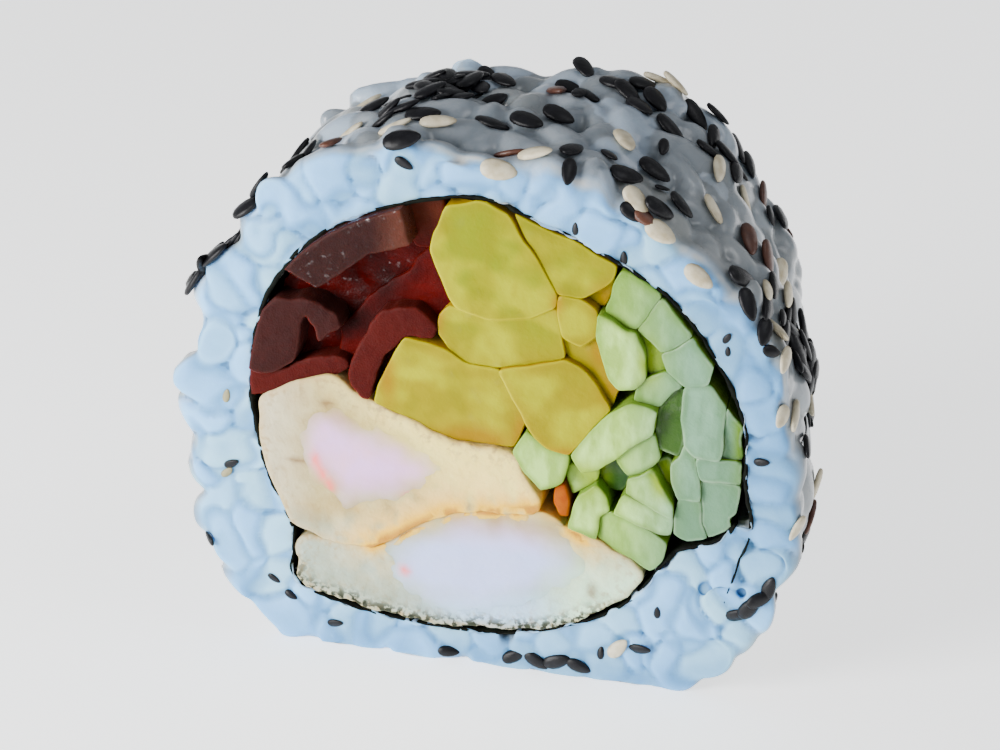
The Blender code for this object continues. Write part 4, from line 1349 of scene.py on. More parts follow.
noriShape = {
    "thickness": 0.32, "crinkle": 0.12, "perSpan": 14, "across": 26, "proud": -0.12, "seed": 5,
    "thinBelow": -13, "thinShare": 0.5, "tailProud": 0.12, "tailThickness": 0.55,
}


def noriPoint(here, side, depth, face, tail):
    # one point of the sheet, on one of its two faces
    shape = noriShape
    spot = Vector((here[0], depth, here[1]))
    wave = noise.noise(spot / 2.3 + Vector((0, 0, shape["seed"]))) * shape["crinkle"]
    offset = Vector((face * 9, 0, 0))
    uneven = 0.8 * noise.noise(spot / 1.4 + offset) + 0.8 * noise.noise(spot / 0.5 + offset)
    thinner = shape["thinShare"] if here[1] < shape["thinBelow"] else 1.0
    thick = shape["thickness"] / 2 * (1 + max(uneven, -0.8)) * thinner
    y = depth + noise.noise(spot / 0.8) * 0.3 * depth / back
    if tail:
        thick *= shape["tailThickness"]
        y += (shape["tailProud"] + noise.noise(spot / 1.3) * 0.7) * depth / back
    away = wave + face * thick
    return here[0] + side[0] * away, y, here[1] + side[1] * away


def sheetFaces(long, wide):
    # two grids of points, one for each face of the sheet, closed round their edges
    top, faces = long * wide, []
    for i in range(long - 1):
        for k in range(wide - 1):
            a = i * wide + k
            faces.append((a, a + 1, a + wide + 1, a + wide))
            faces.append((top + a, top + a + wide, top + a + wide + 1, top + a + 1))
    for i in range(long - 1):
        for k in (0, wide - 1):
            a = i * wide + k
            faces.append((a, a + wide, top + a + wide, top + a))
    for k in range(wide - 1):
        for i in (0, long - 1):
            a = i * wide + k
            faces.append((a, top + a, top + a + 1, a + 1))
    return faces


def makeNori(material):
    shape = noriShape
    line = np.array(smoothPath(noriRoute, shape["perSpan"]))
    sides = pathSides(line)
    depths = np.linspace(front - shape["proud"], back + shape["proud"], shape["across"])
    tail = sheetStart * shape["perSpan"]
    points = [
        noriPoint(here, side, depth, face, number < tail)
        for face in (1, -1)
        for number, (here, side) in enumerate(zip(line, sides))
        for depth in depths
    ]
    mesh = faceOutward(meshFrom("nori", place(points), sheetFaces(len(line), len(depths))))
    mesh.shade_smooth()
    sheet = addObject("noriSheet", mesh, material)
    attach(sheet, "root")
    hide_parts("nori")
    print("nori:", len(mesh.polygons) * 2, "triangles")


# Fillings

# corners on the cut face; neighbours share them, as sticks pressed together do
takuanCorners = {
    "takuan_1": [(-3.5, 19), (-0.4, 19.7), (1.9, 18.9), (4.8, 15.2), (6.3, 12.3), (6.2, 11.2),
        (4, 9.9), (0.3, 9.3), (-2.6, 10.1), (-3.3, 11), (-5, 15.3), (-4.6, 16.9)],
    "takuan_2": [(2.3, 18.8), (7, 17), (11.2, 15.1), (11.2, 14.2), (8.4, 12.2), (6.3, 12.3),
        (4.8, 15.2)],
    "takuan_3": [(-4.3, 9.2), (-3.4, 10.2), (-2.6, 10.1), (0.3, 9.3), (4, 9.9), (6.2, 11.2),
        (6.7, 8.4), (7.1, 6.5), (4, 5.6), (1.2, 4.9), (-1.6, 4.9), (-3.4, 6.1), (-4.3, 7.4)],
    "takuan_4": [(6.3, 12.3), (8.4, 12.2), (9.9, 11.4), (9.9, 8.9), (8.4, 7.7), (6.7, 8.4),
        (6.2, 11.2)],
    "takuan_5": [(-7.2, 6.9), (-5, 6.6), (-3.4, 6.1), (-1.6, 4.9), (1.2, 4.9), (2, 3.3), (3.6, 0.1),
        (2.5, -2.6), (-2.8, -2.6), (-5.2, -1.8), (-10.2, 0.2), (-9.7, 2), (-8.2, 5.4)],
    "takuan_6": [(1.2, 4.9), (4, 5.6), (7.1, 6.5), (8.6, 5.8), (9.9, 4.3), (11.1, 2.1), (9.4, 0.1),
        (7.5, -2.6), (5.4, -2.2), (4.4, -1.2), (3.6, 0.1), (2, 3.3)],
    "takuan_7": [(7.1, 6.5), (6.7, 8.4), (8.4, 7.7), (9.9, 8.9), (10.3, 7.7), (10.9, 5.3), (11.8, 4.2),
        (11.1, 2.1), (9.9, 4.3), (8.6, 5.8)],
    "takuan_8": [(8.4, 12.2), (11.2, 14.2), (10.9, 12.7), (10.4, 11.3), (9.9, 11.4)],
}
cucumberCorners = {
    "cucumber_01": [(11.5, 15), (14.3, 13.9), (15, 12.9), (14.3, 11.3), (13.3, 9.9), (12.6, 9.9),
        (10.4, 11.3), (10.9, 12.7), (11.2, 14.2)],
    "cucumber_02": [(10.4, 11.3), (12.6, 9.9), (13.3, 9.9), (14.1, 7.4), (14.2, 5.6), (13.3, 4.5),
        (11.8, 4.2), (10.9, 5.3), (10.3, 7.7), (9.9, 8.9), (9.9, 11.4)],
    "cucumber_03": [(15, 12.9), (17.8, 9.8), (16.9, 8.8), (15.5, 8.1), (13.3, 9.9), (14.3, 11.3)],
    "cucumber_04": [(17.8, 9.8), (19.5, 7.2), (19.5, 5.6), (17.5, 5.1), (15.9, 6.4), (15.5, 8.1),
        (16.9, 8.8)],
    "cucumber_05": [(17.5, 5.1), (19.5, 5.6), (20.9, 3.6), (21, 0.5), (20.8, -1.3), (18.6, -1.3),
        (17.6, -0.2), (17.3, 2.4), (17.4, 4.8)],
    "cucumber_06": [(20.9, 3.6), (22.1, 1.8), (22.1, -1.3), (20.8, -1.3), (21, 0.5)],
    "cucumber_07": [(18.6, -1.3), (22.1, -1.3), (22.1, -3.5), (19.1, -3.5)],
    "cucumber_08": [(19.1, -3.5), (22.1, -3.5), (22.1, -6.2), (21.1, -7.7), (19.4, -8.8), (19.2, -5.4)],
    "cucumber_09": [(17.1, -1.6), (17.6, -0.2), (18.6, -1.3), (19.1, -3.5), (19.2, -5.4), (17.1, -5.5),
        (16.6, -4), (16.5, -2.2)],
    "cucumber_10": [(17.1, -5.5), (19.2, -5.4), (19.4, -8.8), (17.7, -9.4), (16.8, -9), (16.8, -7.4)],
    "cucumber_11": [(16.6, 4.6), (17.4, 4.8), (17.3, 2.4), (17.6, -0.2), (17.1, -1.6), (15.4, -1.1),
        (14.9, 0.6), (15.3, 2.8)],
    "cucumber_12": [(7.5, -2.6), (9.4, 0.1), (11.1, 2.1), (13, 3.2), (15.3, 2.8), (14.9, 0.6),
        (13.1, -0.9), (11.5, -2.4), (10, -3.6), (8.6, -4.1)],
    "cucumber_13": [(13.3, 9.9), (15.5, 8.1), (15.9, 6.4), (14.2, 5.6), (14.1, 7.4)],
    "cucumber_14": [(11.5, -2.4), (13.1, -0.9), (14.9, 0.6), (15.4, -1.1), (15.6, -1.8), (14.9, -2.8),
        (13.8, -3.6), (12.6, -4)],
    "cucumber_15": [(12.6, -4), (13.8, -3.6), (14.9, -2.8), (15.8, -4.5), (16.7, -6), (16.8, -7.4),
        (14.8, -6.6), (12.5, -5.4)],
    "cucumber_16": [(12.5, -5.4), (14.8, -6.6), (16.8, -7.4), (16.6, -9.1), (15.2, -9.1), (13.2, -8.3),
        (11.5, -7.5), (12, -6.1)],
    "cucumber_17": [(11.2, -7.6), (13.2, -8.3), (15.2, -9.1), (16.1, -9.6), (15.4, -11.2),
        (14.4, -12.5), (11.8, -11.5), (10, -10.4), (10.2, -8.2)],
    "cucumber_18": [(7.5, -8.8), (8.2, -6.4), (9.9, -5.1), (10.7, -6.1), (11.2, -7.6), (10.2, -8.2),
        (10, -10.4), (8.2, -9.9), (7.4, -9.6)],
    "cucumber_19": [(2.4, -2.7), (3.7, -0.6), (4.4, -1.2), (5.4, -2.2), (7.4, -2.6), (7.4, -3.8),
        (7, -5.3), (5.9, -6), (4.9, -6.4), (3.4, -4.6)],
    "cucumber_20": [(10, -3.6), (11.5, -2.4), (12.6, -4), (12.5, -5.4), (12, -6.1), (10.7, -6.1),
        (9.9, -5.1)],
    "cucumber_21": [(7.4, -3.8), (8.6, -4.1), (10, -3.6), (9.9, -5.1), (8.2, -6.4), (7.5, -7),
        (7, -5.3)],
    "cucumber_22": [(14.9, -2.8), (15.9, -2.1), (16.5, -2.4), (16.6, -4), (17, -5.5), (16.7, -6),
        (15.8, -4.5)],
    "cucumber_23": [(14.2, 5.6), (15.9, 6.4), (17.4, 5), (16.6, 4.6), (15.3, 2.8), (13, 3.2),
        (13.3, 4.5)],
}
carrotCorners = {"carrot": [(6, -6.2), (6.9, -5.6), (7.4, -7.2), (7.3, -8.9), (6.5, -8.9), (5.9, -7.6)]}
kanpyoCorners = {
    "kanpyo_1": [(-17.6, 12.0), (-14.8, 15.3), (-11.5, 17.4), (-9.3, 18.5), (-7.1, 18.8), (-6.5, 15.7),
                 (-10.0, 14.6), (-12.7, 12.4), (-15.1, 10.7)],
    "kanpyo_2": [(-6.9, 14.6), (-4.3, 14.8), (-4.1, 19.2), (-7.4, 18.8)],
    "kanpyo_3": [(-21.0, 2.1), (-20.8, 4.6), (-19.9, 7.4), (-18.4, 9.0), (-16.6, 9.3), (-14.7, 9.0),
                 (-13.4, 8.2), (-12.8, 7.1), (-13.9, 6.4), (-15.2, 5.5), (-15.4, 6.8), (-16.3, 7.7),
                 (-16.8, 6.6), (-17.1, 3.7), (-17.4, 3.2), (-19.9, 1.8)],
    "kanpyo_4": [(-21.0, 1.8), (-20.0, 1.8), (-17.5, 3.0), (-15.7, 3.7), (-13.7, 4.1), (-12.6, 3.9),
                 (-12.4, 3.2), (-13.2, 2.4), (-15.3, 1.5), (-17.9, 0.5), (-20.4, -0.5), (-21.2, -0.6)],
    "kanpyo_5": [(-12.3, 3.2), (-12.1, 4.4), (-11.2, 6.0), (-10.3, 7.8), (-9.3, 9.1), (-7.8, 9.7),
                 (-6.2, 9.7), (-5.1, 9.1), (-4.4, 8.2), (-4.6, 7.2), (-5.7, 6.9), (-6.6, 7.0),
                 (-7.4, 6.6), (-8.1, 5.9), (-9.0, 4.9), (-9.7, 3.3), (-10.3, 1.7), (-10.5, 0.5),
                 (-11.4, 0.9), (-12.1, 1.9)],
    "kanpyo_6": [(-13.6, 6.4), (-10.8, 9.7), (-7.5, 12.4), (-5.7, 14.8), (-4.4, 14.4), (-3.2, 10.3),
                 (-4.6, 7.6), (-7.2, 7.8), (-9.5, 6.8), (-11.0, 4.6), (-12.0, 2.6), (-13.8, 3.2)],
}
kanpyoTones = {"kanpyo_1": 1.0, "kanpyo_2": 0.3, "kanpyo_3": 0.92, "kanpyo_4": 0.5, "kanpyo_5": 0.5,
               "kanpyo_6": 0.0, "kanpyo_7": 0.12}
# the gourd strips are folded on each other, so that a dark red bed shows between them
gourdBed = {
    "node": "kanpyo_7", "depth": 2.0, "hollowMiddle": (-13.0, 10.6), "hollowReach": 3.6, "hollow": 0.8,
    "foldDepth": 1.5,
    "corners": [(-20.3, 1.2), (-20.6, 4.0), (-19.6, 7.6), (-17.6, 11.2), (-14.4, 14.4), (-10.8, 17.0),
                (-7.0, 18.6), (-4.3, 19.0), (-4.5, 15.3), (-3.2, 11.0), (-4.2, 8.4), (-7.0, 6.6),
                (-8.2, 5.4), (-9.6, 2.0), (-10.4, 0.2), (-12.5, 1.2), (-15.5, 1.0)],
}
batterOutlines = {
    "left": [(-19.7, 0.0), (-16.2, 1.8), (-13.4, 2.3), (-11.4, 0.7), (-7.6, -0.7), (-2.8, -2.6),
             (2.2, -3.0), (3.2, -4.7), (4.7, -6.9), (4.3, -8.8), (-1.5, -9.2), (-6.5, -11.5), (-10.3, -13.9),
             (-15.0, -13.8), (-18.4, -11.2), (-19.9, -6.0), (-20.3, -2.4)],
    "bottom": [(-17.0, -13.9), (-15.0, -13.8), (-10.3, -14.0), (-6.5, -11.6), (-1.5, -9.3),
               (4.3, -8.9), (7.0, -9.6), (10.0, -10.5), (11.8, -11.6), (13.9, -12.8), (12.4, -15.3),
               (8.7, -17.9), (4.5, -19.6), (-4.0, -20.4), (-12.5, -19.5), (-16.7, -18.3), (-17.2, -16.2)],
}
shrimpOutlines = {
    "left": [(-14.9, -0.9), (-11.4, -1.7), (-8.1, -2.8), (-5.3, -4.4), (-4.8, -6.0), (-6.7, -7.7),
             (-10.3, -9.3), (-12.8, -10.3), (-14.8, -8.4), (-16.3, -6.4), (-16.5, -4.2), (-16.0, -2.3)],
    "bottom": [(-7.9, -13.8), (-5.3, -11.5), (-2.0, -9.9), (1.6, -9.5), (4.5, -9.6), (6.4, -11.0),
               (7.8, -12.9), (6.8, -15.2), (3.2, -17.5), (-1.3, -18.7), (-4.9, -18.7), (-7.0, -17.4),
               (-8.0, -15.8)],
}
# green skin on a cucumber stick: how green, and the side it is on, in degrees
cucumberSkins = {
    "cucumber_01": (0.35, 60), "cucumber_02": (0.25, 100), "cucumber_03": (0.3, 40),
    "cucumber_06": (0.75, 0), "cucumber_07": (0.3, 0), "cucumber_11": (0.9, None),
    "cucumber_12": (0.3, 120), "cucumber_13": (0.62, None), "cucumber_15": (0.75, 45),
    "cucumber_16": (0.3, 250), "cucumber_18": (0.4, 270), "cucumber_20": (1.0, None),
    "cucumber_21": (0.3, 60), "cucumber_22": (0.85, None), "cucumber_23": (0.6, 240),
}
plainSkin = (0.12, 30)
skinDepth = 1.2
# how pale each stick's flesh is, in their order
cucumberTones = [0.4, 1.0, 0.5, 0.5, 0.6, 0.2, 0.35, 0.25, 0.55, 0.15, 0.1, 0.9, 0.3, 0.6, 1.0, 1.0,
                 0.45, 0.9, 0.85, 0.0, 0.8, 0.0, 0.4]
# how each kind is cut: spacing of its points, edge wear, and the shape of its cut ends
fillingLooks = {
    "takuan": {"spacing": 0.5, "bevel": 0.03, "dome": 0.0, "relief": 0.06, "reliefSize": 2.4,
               "tilt": 0.04, "wave": 0.12, "waveSize": 1.8, "stepShare": 0.4},
    "cucumber": {"spacing": 0.42, "bevel": 0.035, "dome": 0.0, "relief": 0.06, "reliefSize": 1.3,
                 "tilt": 0.07, "wave": 0.14, "waveSize": 1.4, "stepShare": 0.75},
    "carrot": {"spacing": 0.35, "bevel": 0.1, "dome": 0.1, "relief": 0.05, "reliefSize": 1.0,
               "tilt": 0.0, "wave": 0.0, "waveSize": 1.0, "stepShare": 1.0},
    "kanpyo": {"spacing": 0.36, "bevel": 0.12, "dome": 0.0, "relief": 0.06, "reliefSize": 0.9,
               "tilt": 0.04, "wave": 0.25, "waveSize": 1.0},
    "batter": {"spacing": 0.36, "bevel": 0.14, "dome": 0.0, "relief": 0.11, "reliefSize": 1.6,
               "tilt": 0.0, "wave": 0.2, "waveSize": 1.7},
    "shrimp": {"spacing": 0.5, "bevel": 0.0, "dome": 0.34, "relief": 0.07, "reliefSize": 2.6,
               "tilt": 0.0, "wave": 0.2, "waveSize": 1.9},
}
sheetGap = {"kept": 0.13, "drawn": 0.75, "reach": 2.2}


def meetSheet(points):
    # what lies next to the sheet is moved out to touch it, and less so further in
    angles, radii = polar(points[:, 0], points[:, 1])
    gap = radiusAt(innerTable, angles) - radii
    share = np.clip((gap - sheetGap["drawn"]) / (sheetGap["reach"] - sheetGap["drawn"]), 0, 1)
    near = sheetGap["kept"] + share * (sheetGap["reach"] - sheetGap["kept"])
    moved = np.where(gap < sheetGap["reach"], near, gap)
    return points * ((radii + gap - moved) / radii)[:, None]


def denseLoop(corners, look, shared):
    # an outline of close points, slightly uneven; a shared unevenness keeps neighbours touching
    made = []
    for (x, z), (nextX, nextZ) in zip(corners, corners[1:] + corners[:1]):
        steps = max(1, round(math.hypot(nextX - x, nextZ - z) / (look["spacing"] * 0.9)))
        made += [(x + (nextX - x) * k / steps, z + (nextZ - z) * k / steps) for k in range(steps)]
    loop = np.array(made)
    moves = np.array([noise.noise_vector(Vector((x, shared, z)) / look["waveSize"]) for x, z in loop])
    loop += moves[:, :2] * look["wave"]
    loop = loop * 0.6 + (np.roll(loop, 1, axis=0) + np.roll(loop, -1, axis=0)) * 0.2
    return meetSheet(loop)


def toLoop(points, loop):
    # how far each point lies from the outline, and whether it is inside
    tiny = 1e-9
    starts, ends = loop, np.roll(loop, -1, axis=0)
    along = ends - starts
    away = points[:, None, :] - starts[None]
    share = np.clip((away * along).sum(axis=2) / np.maximum((along ** 2).sum(axis=1), tiny), 0, 1)
    distance = np.linalg.norm(away - share[:, :, None] * along, axis=2).min(axis=1)
    x, z = points[:, 0, None], points[:, 1, None]
    crosses = (starts[:, 1] > z) != (ends[:, 1] > z)
    rise = np.where(np.abs(along[:, 1]) < tiny, tiny, along[:, 1])
    crosses &= x < starts[:, 0] + along[:, 0] * (z - starts[:, 1]) / rise
    return distance, crosses.sum(axis=1) % 2 == 1


def capPoints(loop, look, draw):
    # the cut end's points: two rings just inside its outline, and the rest spread evenly
    turned = np.roll(loop, -1, axis=0) - np.roll(loop, 1, axis=0)
    square = np.stack([-turned[:, 1], turned[:, 0]], axis=1) / np.linalg.norm(turned, axis=1)[:, None]
    rings = [loop + square * side * depth for depth in (0.12, 0.3) for side in (1, -1)]
    low, high = loop.min(axis=0), loop.max(axis=0)
    step = look["spacing"]
    grid = np.array([
        (x + draw.uniform(-0.2, 0.2) * step + (row % 2) * step / 2, z + draw.uniform(-0.2, 0.2) * step)
        for row, z in enumerate(np.arange(low[1], high[1], step * 0.87))
        for x in np.arange(low[0], high[0], step)
    ])
    made = []
    for spread, least in ((np.concatenate(rings[:2]), 0.1), (np.concatenate(rings[2:]), 0.26), (grid, 0.45)):
        if len(spread):
            distance, inside = toLoop(spread, loop)
            made.append(spread[inside & (distance > least)])
    return np.concatenate(made)


# how every stick's cut ends are worn, and how far down its walls the rings of points lie
rodShape = {"wornWidth": 0.3, "domeWidth": 2.0, "steepest": 0.35,
            "levels": (0.012, 0.04, 0.12, 0.3, 0.5, 0.7, 0.88, 0.96, 0.988)}
crust = {"height": 0.3, "size": 0.6, "width": 1.9, "roughBelow": -14.0, "fade": 2.5, "least": 0.2}


def capDepth(flat, inside, end, sign, look, number, slope, hollow, crusted):
    # how deep each point of one cut end lies
    worn = look["bevel"] * np.clip(1 - inside / rodShape["wornWidth"], 0, 1) ** 2
    swell = look["dome"] * np.clip(inside / rodShape["domeWidth"], 0, 1)
    spots = np.stack([flat[:, 0], np.full(len(flat), sign * 9.0 + number), flat[:, 1]], axis=1)
    relief = noiseAt(spots, look["reliefSize"], number % 7) * look["relief"]
    if crusted:
        rough = np.clip((crust["roughBelow"] - flat[:, 1]) / crust["fade"], crust["least"], 1)
        bumps = noiseAt(spots, crust["size"], 4) * crust["height"]
        relief += bumps * rough * np.clip(crust["width"] - inside, 0, 1)
    if hollow:
        relief = relief - hollow(flat)
    return np.full(len(flat), end) + sign * (swell - worn + relief + slope)


def rodMesh(name, loop, ends, look, number, hollow=None, crusted=False):
    # an outline run through the roll, with worn edges and an uneven cut at both ends
    draw = random.Random(number * 7 + 3)
    extra = capPoints(loop, look, draw)
    count = len(loop)
    flat = [Vector(p) for p in np.concatenate([loop, extra])]
    found = delaunay_2d_cdt(flat, [], [list(range(count))], 1, 1e-5)
    flat = np.array([tuple(p) for p in found[0]])
    around = [0] * count
    for made, sources in enumerate(found[3]):
        for source in sources:
            if source < count:
                around[source] = made
    inside = toLoop(flat, loop)[0]
    inside[around] = 0.0
    caps = []
    for sign, end in zip((-1, 1), ends):
        tilt = np.array([draw.gauss(0, look["tilt"]), draw.gauss(0, look["tilt"])])
        slope = np.clip((flat - loop.mean(axis=0)) @ tilt, -rodShape["steepest"], rodShape["steepest"])
        caps.append(capDepth(flat, inside, end, sign, look, number, slope, hollow, crusted))
    points = [np.stack([flat[:, 0], cap, flat[:, 1]], axis=1) for cap in caps]
    for level in rodShape["levels"]:
        depth = caps[0][around] * (1 - level) + caps[1][around] * level
        points.append(np.stack([flat[around, 0], depth, flat[around, 1]], axis=1))
    points = np.concatenate(points)
    total = len(flat)
    faces = [tuple(face) for face in found[2]] + [tuple(v + total for v in face) for face in found[2]]
    rows = [[2 * total + r * count + k for k in range(count)] for r in range(len(rodShape["levels"]))]
    rows = [list(around), *rows, [total + v for v in around]]
    for first, second in zip(rows, rows[1:]):
        for k in range(count):
            m = (k + 1) % count
            faces.append((first[k], first[m], second[m], second[k]))
    points[:, 0] += leanShift(points[:, 0], points[:, 1])
    mesh = faceOutward(meshFrom(name, points, faces))
    rim = np.concatenate([inside, inside, np.zeros(len(points) - 2 * total)])
    paintValues(mesh, rim=rim, wall=np.arange(len(points)) >= 2 * total)
    return mesh, points, draw


def nodeEnds(nodeName):
    # how deep the solid's two cut ends lie, in millimetres on the slice
    low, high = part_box(nodeName)
    return unplace([low])[0][1], unplace([high])[0][1]


def finishFilling(mesh, points, name, nodeName, material):
    placed = np.array(points)
    placed[:, 2] += piece["middleHeight"]
    writePoints(mesh, placed * metresPerMm + sliceShift)
    mesh.shade_smooth()
    made = addObject(name, mesh, material)
    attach(made, "root")
    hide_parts(nodeName)


def plainName(nodeName):
    words = nodeName.split("_")
    return words[0] + "Piece" + "".join(words[1:])


def spotShare(points, spots, most):
    # how strongly each point lies in one of the soft spots
    share = sum(np.exp(-(((points[:, 0] - x) / across) ** 2 + ((points[:, 2] - z) / tall) ** 2))
                for x, z, across, tall in spots)
    return np.clip(share, 0, most)


# where the radish lets amber light through: place on the cut face, and reach each way
ambers = [(10.4, 12.2, 1.1, 1.5), (9.9, 7.2, 0.9, 1.6), (3.0, -1.2, 0.6, 1.7), (-1.0, -2.2, 4.2, 1.3),
          (11.2, 4.4, 1.0, 1.8), (7.3, -2.4, 2.0, 0.5), (-4.4, 9.4, 0.6, 2.2), (-8.8, 3.0, 0.7, 2.6),
          (6.3, 11.6, 0.5, 0.9)]
# where the cucumber is yellow-green
limes = [(9.0, -4.6, 1.3, 1.7), (14.4, 7.0, 1.0, 1.9), (15.6, -4.0, 0.8, 1.6)]


def skinGreen(points, nodeName):
    # a stick's green skin lies on one side of it, or all over where no side is given
    level, side = cucumberSkins.get(nodeName, plainSkin)
    if side is None:
        return level
    turn = math.radians(side)
    reach = points[:, 0] * math.cos(turn) + points[:, 2] * math.sin(turn)
    return level * np.clip(1 - (reach.max() - reach) / skinDepth, 0, 1) + 0.02


def makeSticks(kind, corners, material):
    look = fillingLooks[kind]
    for number, (nodeName, outline) in enumerate(corners.items()):
        loop = denseLoop(outline, look, 0.0)
        low, high = nodeEnds(nodeName)
        ends = (front + (low - front) * look["stepShare"], back + (high - back) * look["stepShare"])
        mesh, points, draw = rodMesh(nodeName, loop, ends, look, number)
        if kind == "takuan":
            paintValues(mesh, tone=draw.random(), amber=spotShare(points, ambers, 0.85))
        if kind == "cucumber":
            paintValues(mesh, tone=cucumberTones[number], green=skinGreen(points, nodeName),
                        lime=spotShare(points, limes, 0.9))
        finishFilling(mesh, points, plainName(nodeName), nodeName, material)
    print(kind, "pieces:", len(corners))


def bedHollow(flat):
    # the bed lies deepest in the middle of the fold
    x, z = gourdBed["hollowMiddle"]
    away = np.hypot(flat[:, 0] - x, flat[:, 1] - z) / gourdBed["hollowReach"]
    spots = np.stack([flat[:, 0], np.zeros(len(flat)), flat[:, 1]], axis=1)
    return gourdBed["hollow"] * np.exp(-away * away) + noiseAt(spots, 2.4, 3, 2) * 0.3


# painted shadow in the deepest parts of the folds: place on the cut face, and reach each way
foldShadows = [(-13.4, 7.6, 3.2, 1.6), (-9.6, 11.0, 1.5, 1.8)]


def makeKanpyo(material):
    look = fillingLooks["kanpyo"]
    outlines = {**kanpyoCorners, gourdBed["node"]: gourdBed["corners"]}
    depths = {gourdBed["node"]: gourdBed["depth"], "kanpyo_6": gourdBed["foldDepth"]}
    for number, (nodeName, corners) in enumerate(outlines.items()):
        bed = nodeName == gourdBed["node"]
        ends = nodeEnds(nodeName)
        if nodeName in depths:
            ends = (front + depths[nodeName], back - depths[nodeName])
        loop = denseLoop(corners, look, number + 1.0)
        mesh, points, _ = rodMesh(nodeName, loop, ends, look, number, bedHollow if bed else None)
        # painted shadow in the deepest folds of the bed and the fold behind it
        sunk = spotShare(points, foldShadows, 0.8) * (nodeName in depths)
        wet = bed or nodeName == "kanpyo_1"
        paintValues(mesh, tone=kanpyoTones[nodeName], sunk=sunk, rough=wet)
        finishFilling(mesh, points, plainName(nodeName), nodeName, material)
    print("kanpyo pieces:", len(outlines))


# each coat's shades: how wide and how bright it is fried to gold, and its dark crumbs low down
coatShades = {
    "left": {"gold": 1.3, "glow": 0.85, "crumb": 0.0},
    "bottom": {"gold": 0.75, "glow": 0.45, "crumb": 1.0},
}
shrimpRise = -0.12
shrimpGrowth = 1.2
# pink marks on the shrimp: place on the cut face, and reach each way
blushes = [(-15.5, -6.0, 0.4, 0.8), (-14.9, -7.2, 0.4, 0.7), (-14.2, -8.3, 0.4, 0.7), (-6.9, -8.4, 0.7, 0.3),
           (-7.5, -15.9, 0.5, 0.5)]
# brown flecks in the coat
marks = [(-15.0, -2.7, 0.35, 0.6), (-14.4, -0.4, 0.6, 0.3), (-17.2, -6.3, 1.0, 0.25), (3.6, -16.6, 0.3, 0.8),
         (9.6, -15.6, 0.4, 0.7)]
# where the coat is thin and the shrimp shows through
milk = [(-1.5, -19.0, 3.5, 1.4), (4.0, -18.0, 4.5, 2.0)]
# where the two coats meet and have fried to gold
friedLine = [(-10.6, -13.9), (-8.3, -12.7), (-6.5, -11.5), (-3.6, -9.8), (-1.0, -9.2), (2.4, -8.9),
             (4.6, -8.2), (6.6, -9.0), (9.0, -10.8)]


def lineDistance(points, line):
    # from each point to a line drawn on the cut face
    made = np.full(len(points), 1e9)
    flat = points[:, [0, 2]]
    for start, end in zip(np.array(line[:-1]), np.array(line[1:])):
        along = end - start
        share = np.clip(((flat - start) @ along) / (along @ along), 0, 1)
        made = np.minimum(made, np.linalg.norm(flat - start - share[:, None] * along, axis=1))
    return made


def goldShare(points, reach):
    away = lineDistance(points, friedLine) / reach
    return np.exp(-away * away) * np.clip(noiseAt(points, 1.8, 2, 3) * 1.4 + 0.9, 0, 1)


def makeCoat(side, number, material):
    look = fillingLooks["batter"]
    shades = coatShades[side]
    loop = denseLoop(smoothLoop(batterOutlines[side], 3), look, number + 1.0)
    mesh, points, _ = rodMesh("batter", loop, nodeEnds("batter_" + side), look, number + 2, crusted=True)
    rim = np.array([v.value for v in mesh.attributes["rim"].data])
    low = np.clip((-15.5 - points[:, 2]) / 2.5, 0, 1) * shades["crumb"]
    paintValues(
        mesh,
        gold=goldShare(points, shades["gold"]),
        glow=goldShare(points, 3.2) * shades["glow"],
        milk=spotShare(points, milk, 0.9),
        mark=spotShare(points, marks, 0.7),
        crumb=low * np.clip(1.35 - rim * 0.9, 0, 1),
    )
    finishFilling(mesh, points, "batter" + side.capitalize(), "batter_" + side, material)


def makeShrimp(side, number, material):
    look = fillingLooks["shrimp"]
    outline = np.array(shrimpOutlines[side])
    middle = outline.mean(axis=0)
    outline = [tuple(p) for p in middle + (outline - middle) * shrimpGrowth]
    loop = denseLoop(smoothLoop(outline, 3), look, number + 5.0)
    low, high = nodeEnds("batter_" + side)
    ends = (low - shrimpRise, high + shrimpRise)
    mesh, points, _ = rodMesh("shrimp", loop, ends, look, number + 4)
    paintValues(mesh, blush=spotShare(points, blushes, 0.85), gold=goldShare(points, 0.5) * 0.6,
                milk=spotShare(points, milk, 0.9))
    finishFilling(mesh, points, "shrimp" + side.capitalize(), "shrimp_" + side, material)


def makeTempura(batter, shrimp):
    for number, side in enumerate(batterOutlines):
        makeCoat(side, number, batter)
        makeShrimp(side, number, shrimp)
    print("tempura pieces:", 2 * len(batterOutlines))


# Floor, light and camera

view = {"azimuth": 16.0, "elevation": 25.0, "lens": 150.0, "sensor": 36.0, "pixelsAcross": 1000,
        "pixelsPerMm": 11.56, "right": 1.18, "up": 3.68}


def direction(azimuth, elevation):
    # from the slice towards a light or the camera, with azimuth 0 in front of the cut face
    a, e = math.radians(azimuth), math.radians(elevation)
    return Vector((math.sin(a) * math.cos(e), -math.cos(a) * math.cos(e), math.sin(e)))


def addFacing(name, data, location, away):
    # a light or a camera that looks back along the direction it stands in
    made = bpy.data.objects.new(name, data)
    bpy.context.scene.collection.objects.link(made)
    made.location = location
    made.rotation_mode = "QUATERNION"
    made.rotation_quaternion = (-away).to_track_quat("-Z", "Y")
    return made


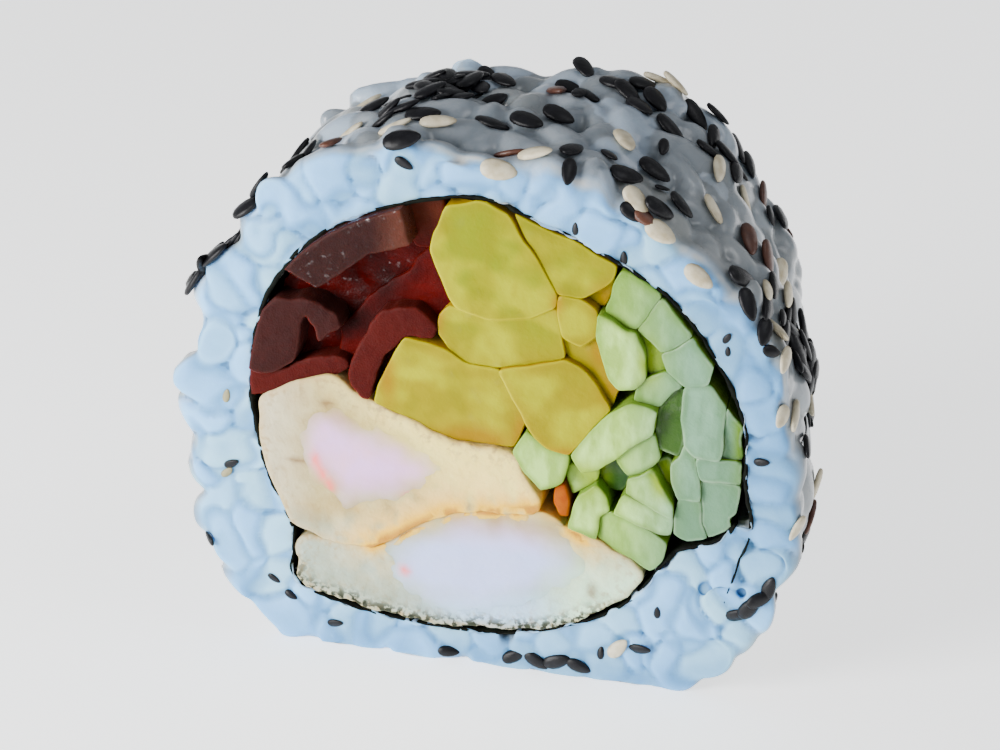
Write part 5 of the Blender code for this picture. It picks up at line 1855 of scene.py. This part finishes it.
def makeStage():
    mesh = meshFrom("floor", [(-3, -3, 0), (3, -3, 0), (3, 3, 0), (-3, 3, 0)], [(0, 1, 2, 3)])
    made, tree, shader = newMaterial("pale floor", 0.7)
    shader.inputs["Base Color"].default_value = (0.92, 0.93, 0.94, 1)
    shader.inputs["Emission Color"].default_value = (1, 1, 1, 1)
    shader.inputs["Emission Strength"].default_value = 1.4
    floor = addObject("floor", mesh, made)
    world = bpy.data.worlds.new("daylight")
    world.use_nodes = True
    sky = world.node_tree.nodes["Background"]
    sky.inputs["Color"].default_value = (0.93, 0.96, 1.0, 1)
    sky.inputs["Strength"].default_value = 0.42
    bpy.context.scene.world = world


def addLight(name, azimuth, elevation, distance, size, power, colour):
    light = bpy.data.lights.new(name, "AREA")
    light.shape = "DISK"
    light.size = size
    light.energy = power
    light.color = colour
    away = direction(azimuth, elevation)
    addFacing(name, light, away * distance + Vector((0, 0, 0.025)), away)


def makeLights():
    addLight("window", -42, 14, 0.28, 0.16, 1.75, (1.0, 0.99, 0.975))
    addLight("overhead", 85, 57, 0.7, 0.3, 1.0, (0.95, 0.97, 1.0))


def makeCamera():
    a, e = math.radians(view["azimuth"]), math.radians(view["elevation"])
    toCamera = direction(view["azimuth"], view["elevation"])
    right = Vector((math.cos(a), math.sin(a), 0))
    up = Vector((-math.sin(a) * math.sin(e), math.cos(a) * math.sin(e), math.cos(e)))
    face = Vector(place([(0, front, 0)])[0])
    target = face + (right * view["right"] + up * view["up"]) * metresPerMm
    lensData = bpy.data.cameras.new("camera")
    lensData.lens = view["lens"]
    lensData.sensor_width = view["sensor"]
    lensData.clip_start = 0.01
    lensData.clip_end = 20
    distance = view["lens"] / view["sensor"] * view["pixelsAcross"] / view["pixelsPerMm"] * metresPerMm
    bpy.context.scene.camera = addFacing("camera", lensData, target + toCamera * distance, toCamera)


makeStage()
makeLights()
makeCamera()
riceSurface = makeRice(riceMaterial())
sprinkleSesame(riceSurface)
makeNori(noriMaterial())
makeSticks("takuan", takuanCorners, takuanMaterial())
makeSticks("cucumber", cucumberCorners, cucumberMaterial())
makeSticks("carrot", carrotCorners, carrotMaterial())
makeKanpyo(kanpyoMaterial())
makeTempura(batterMaterial(), shrimpMaterial())
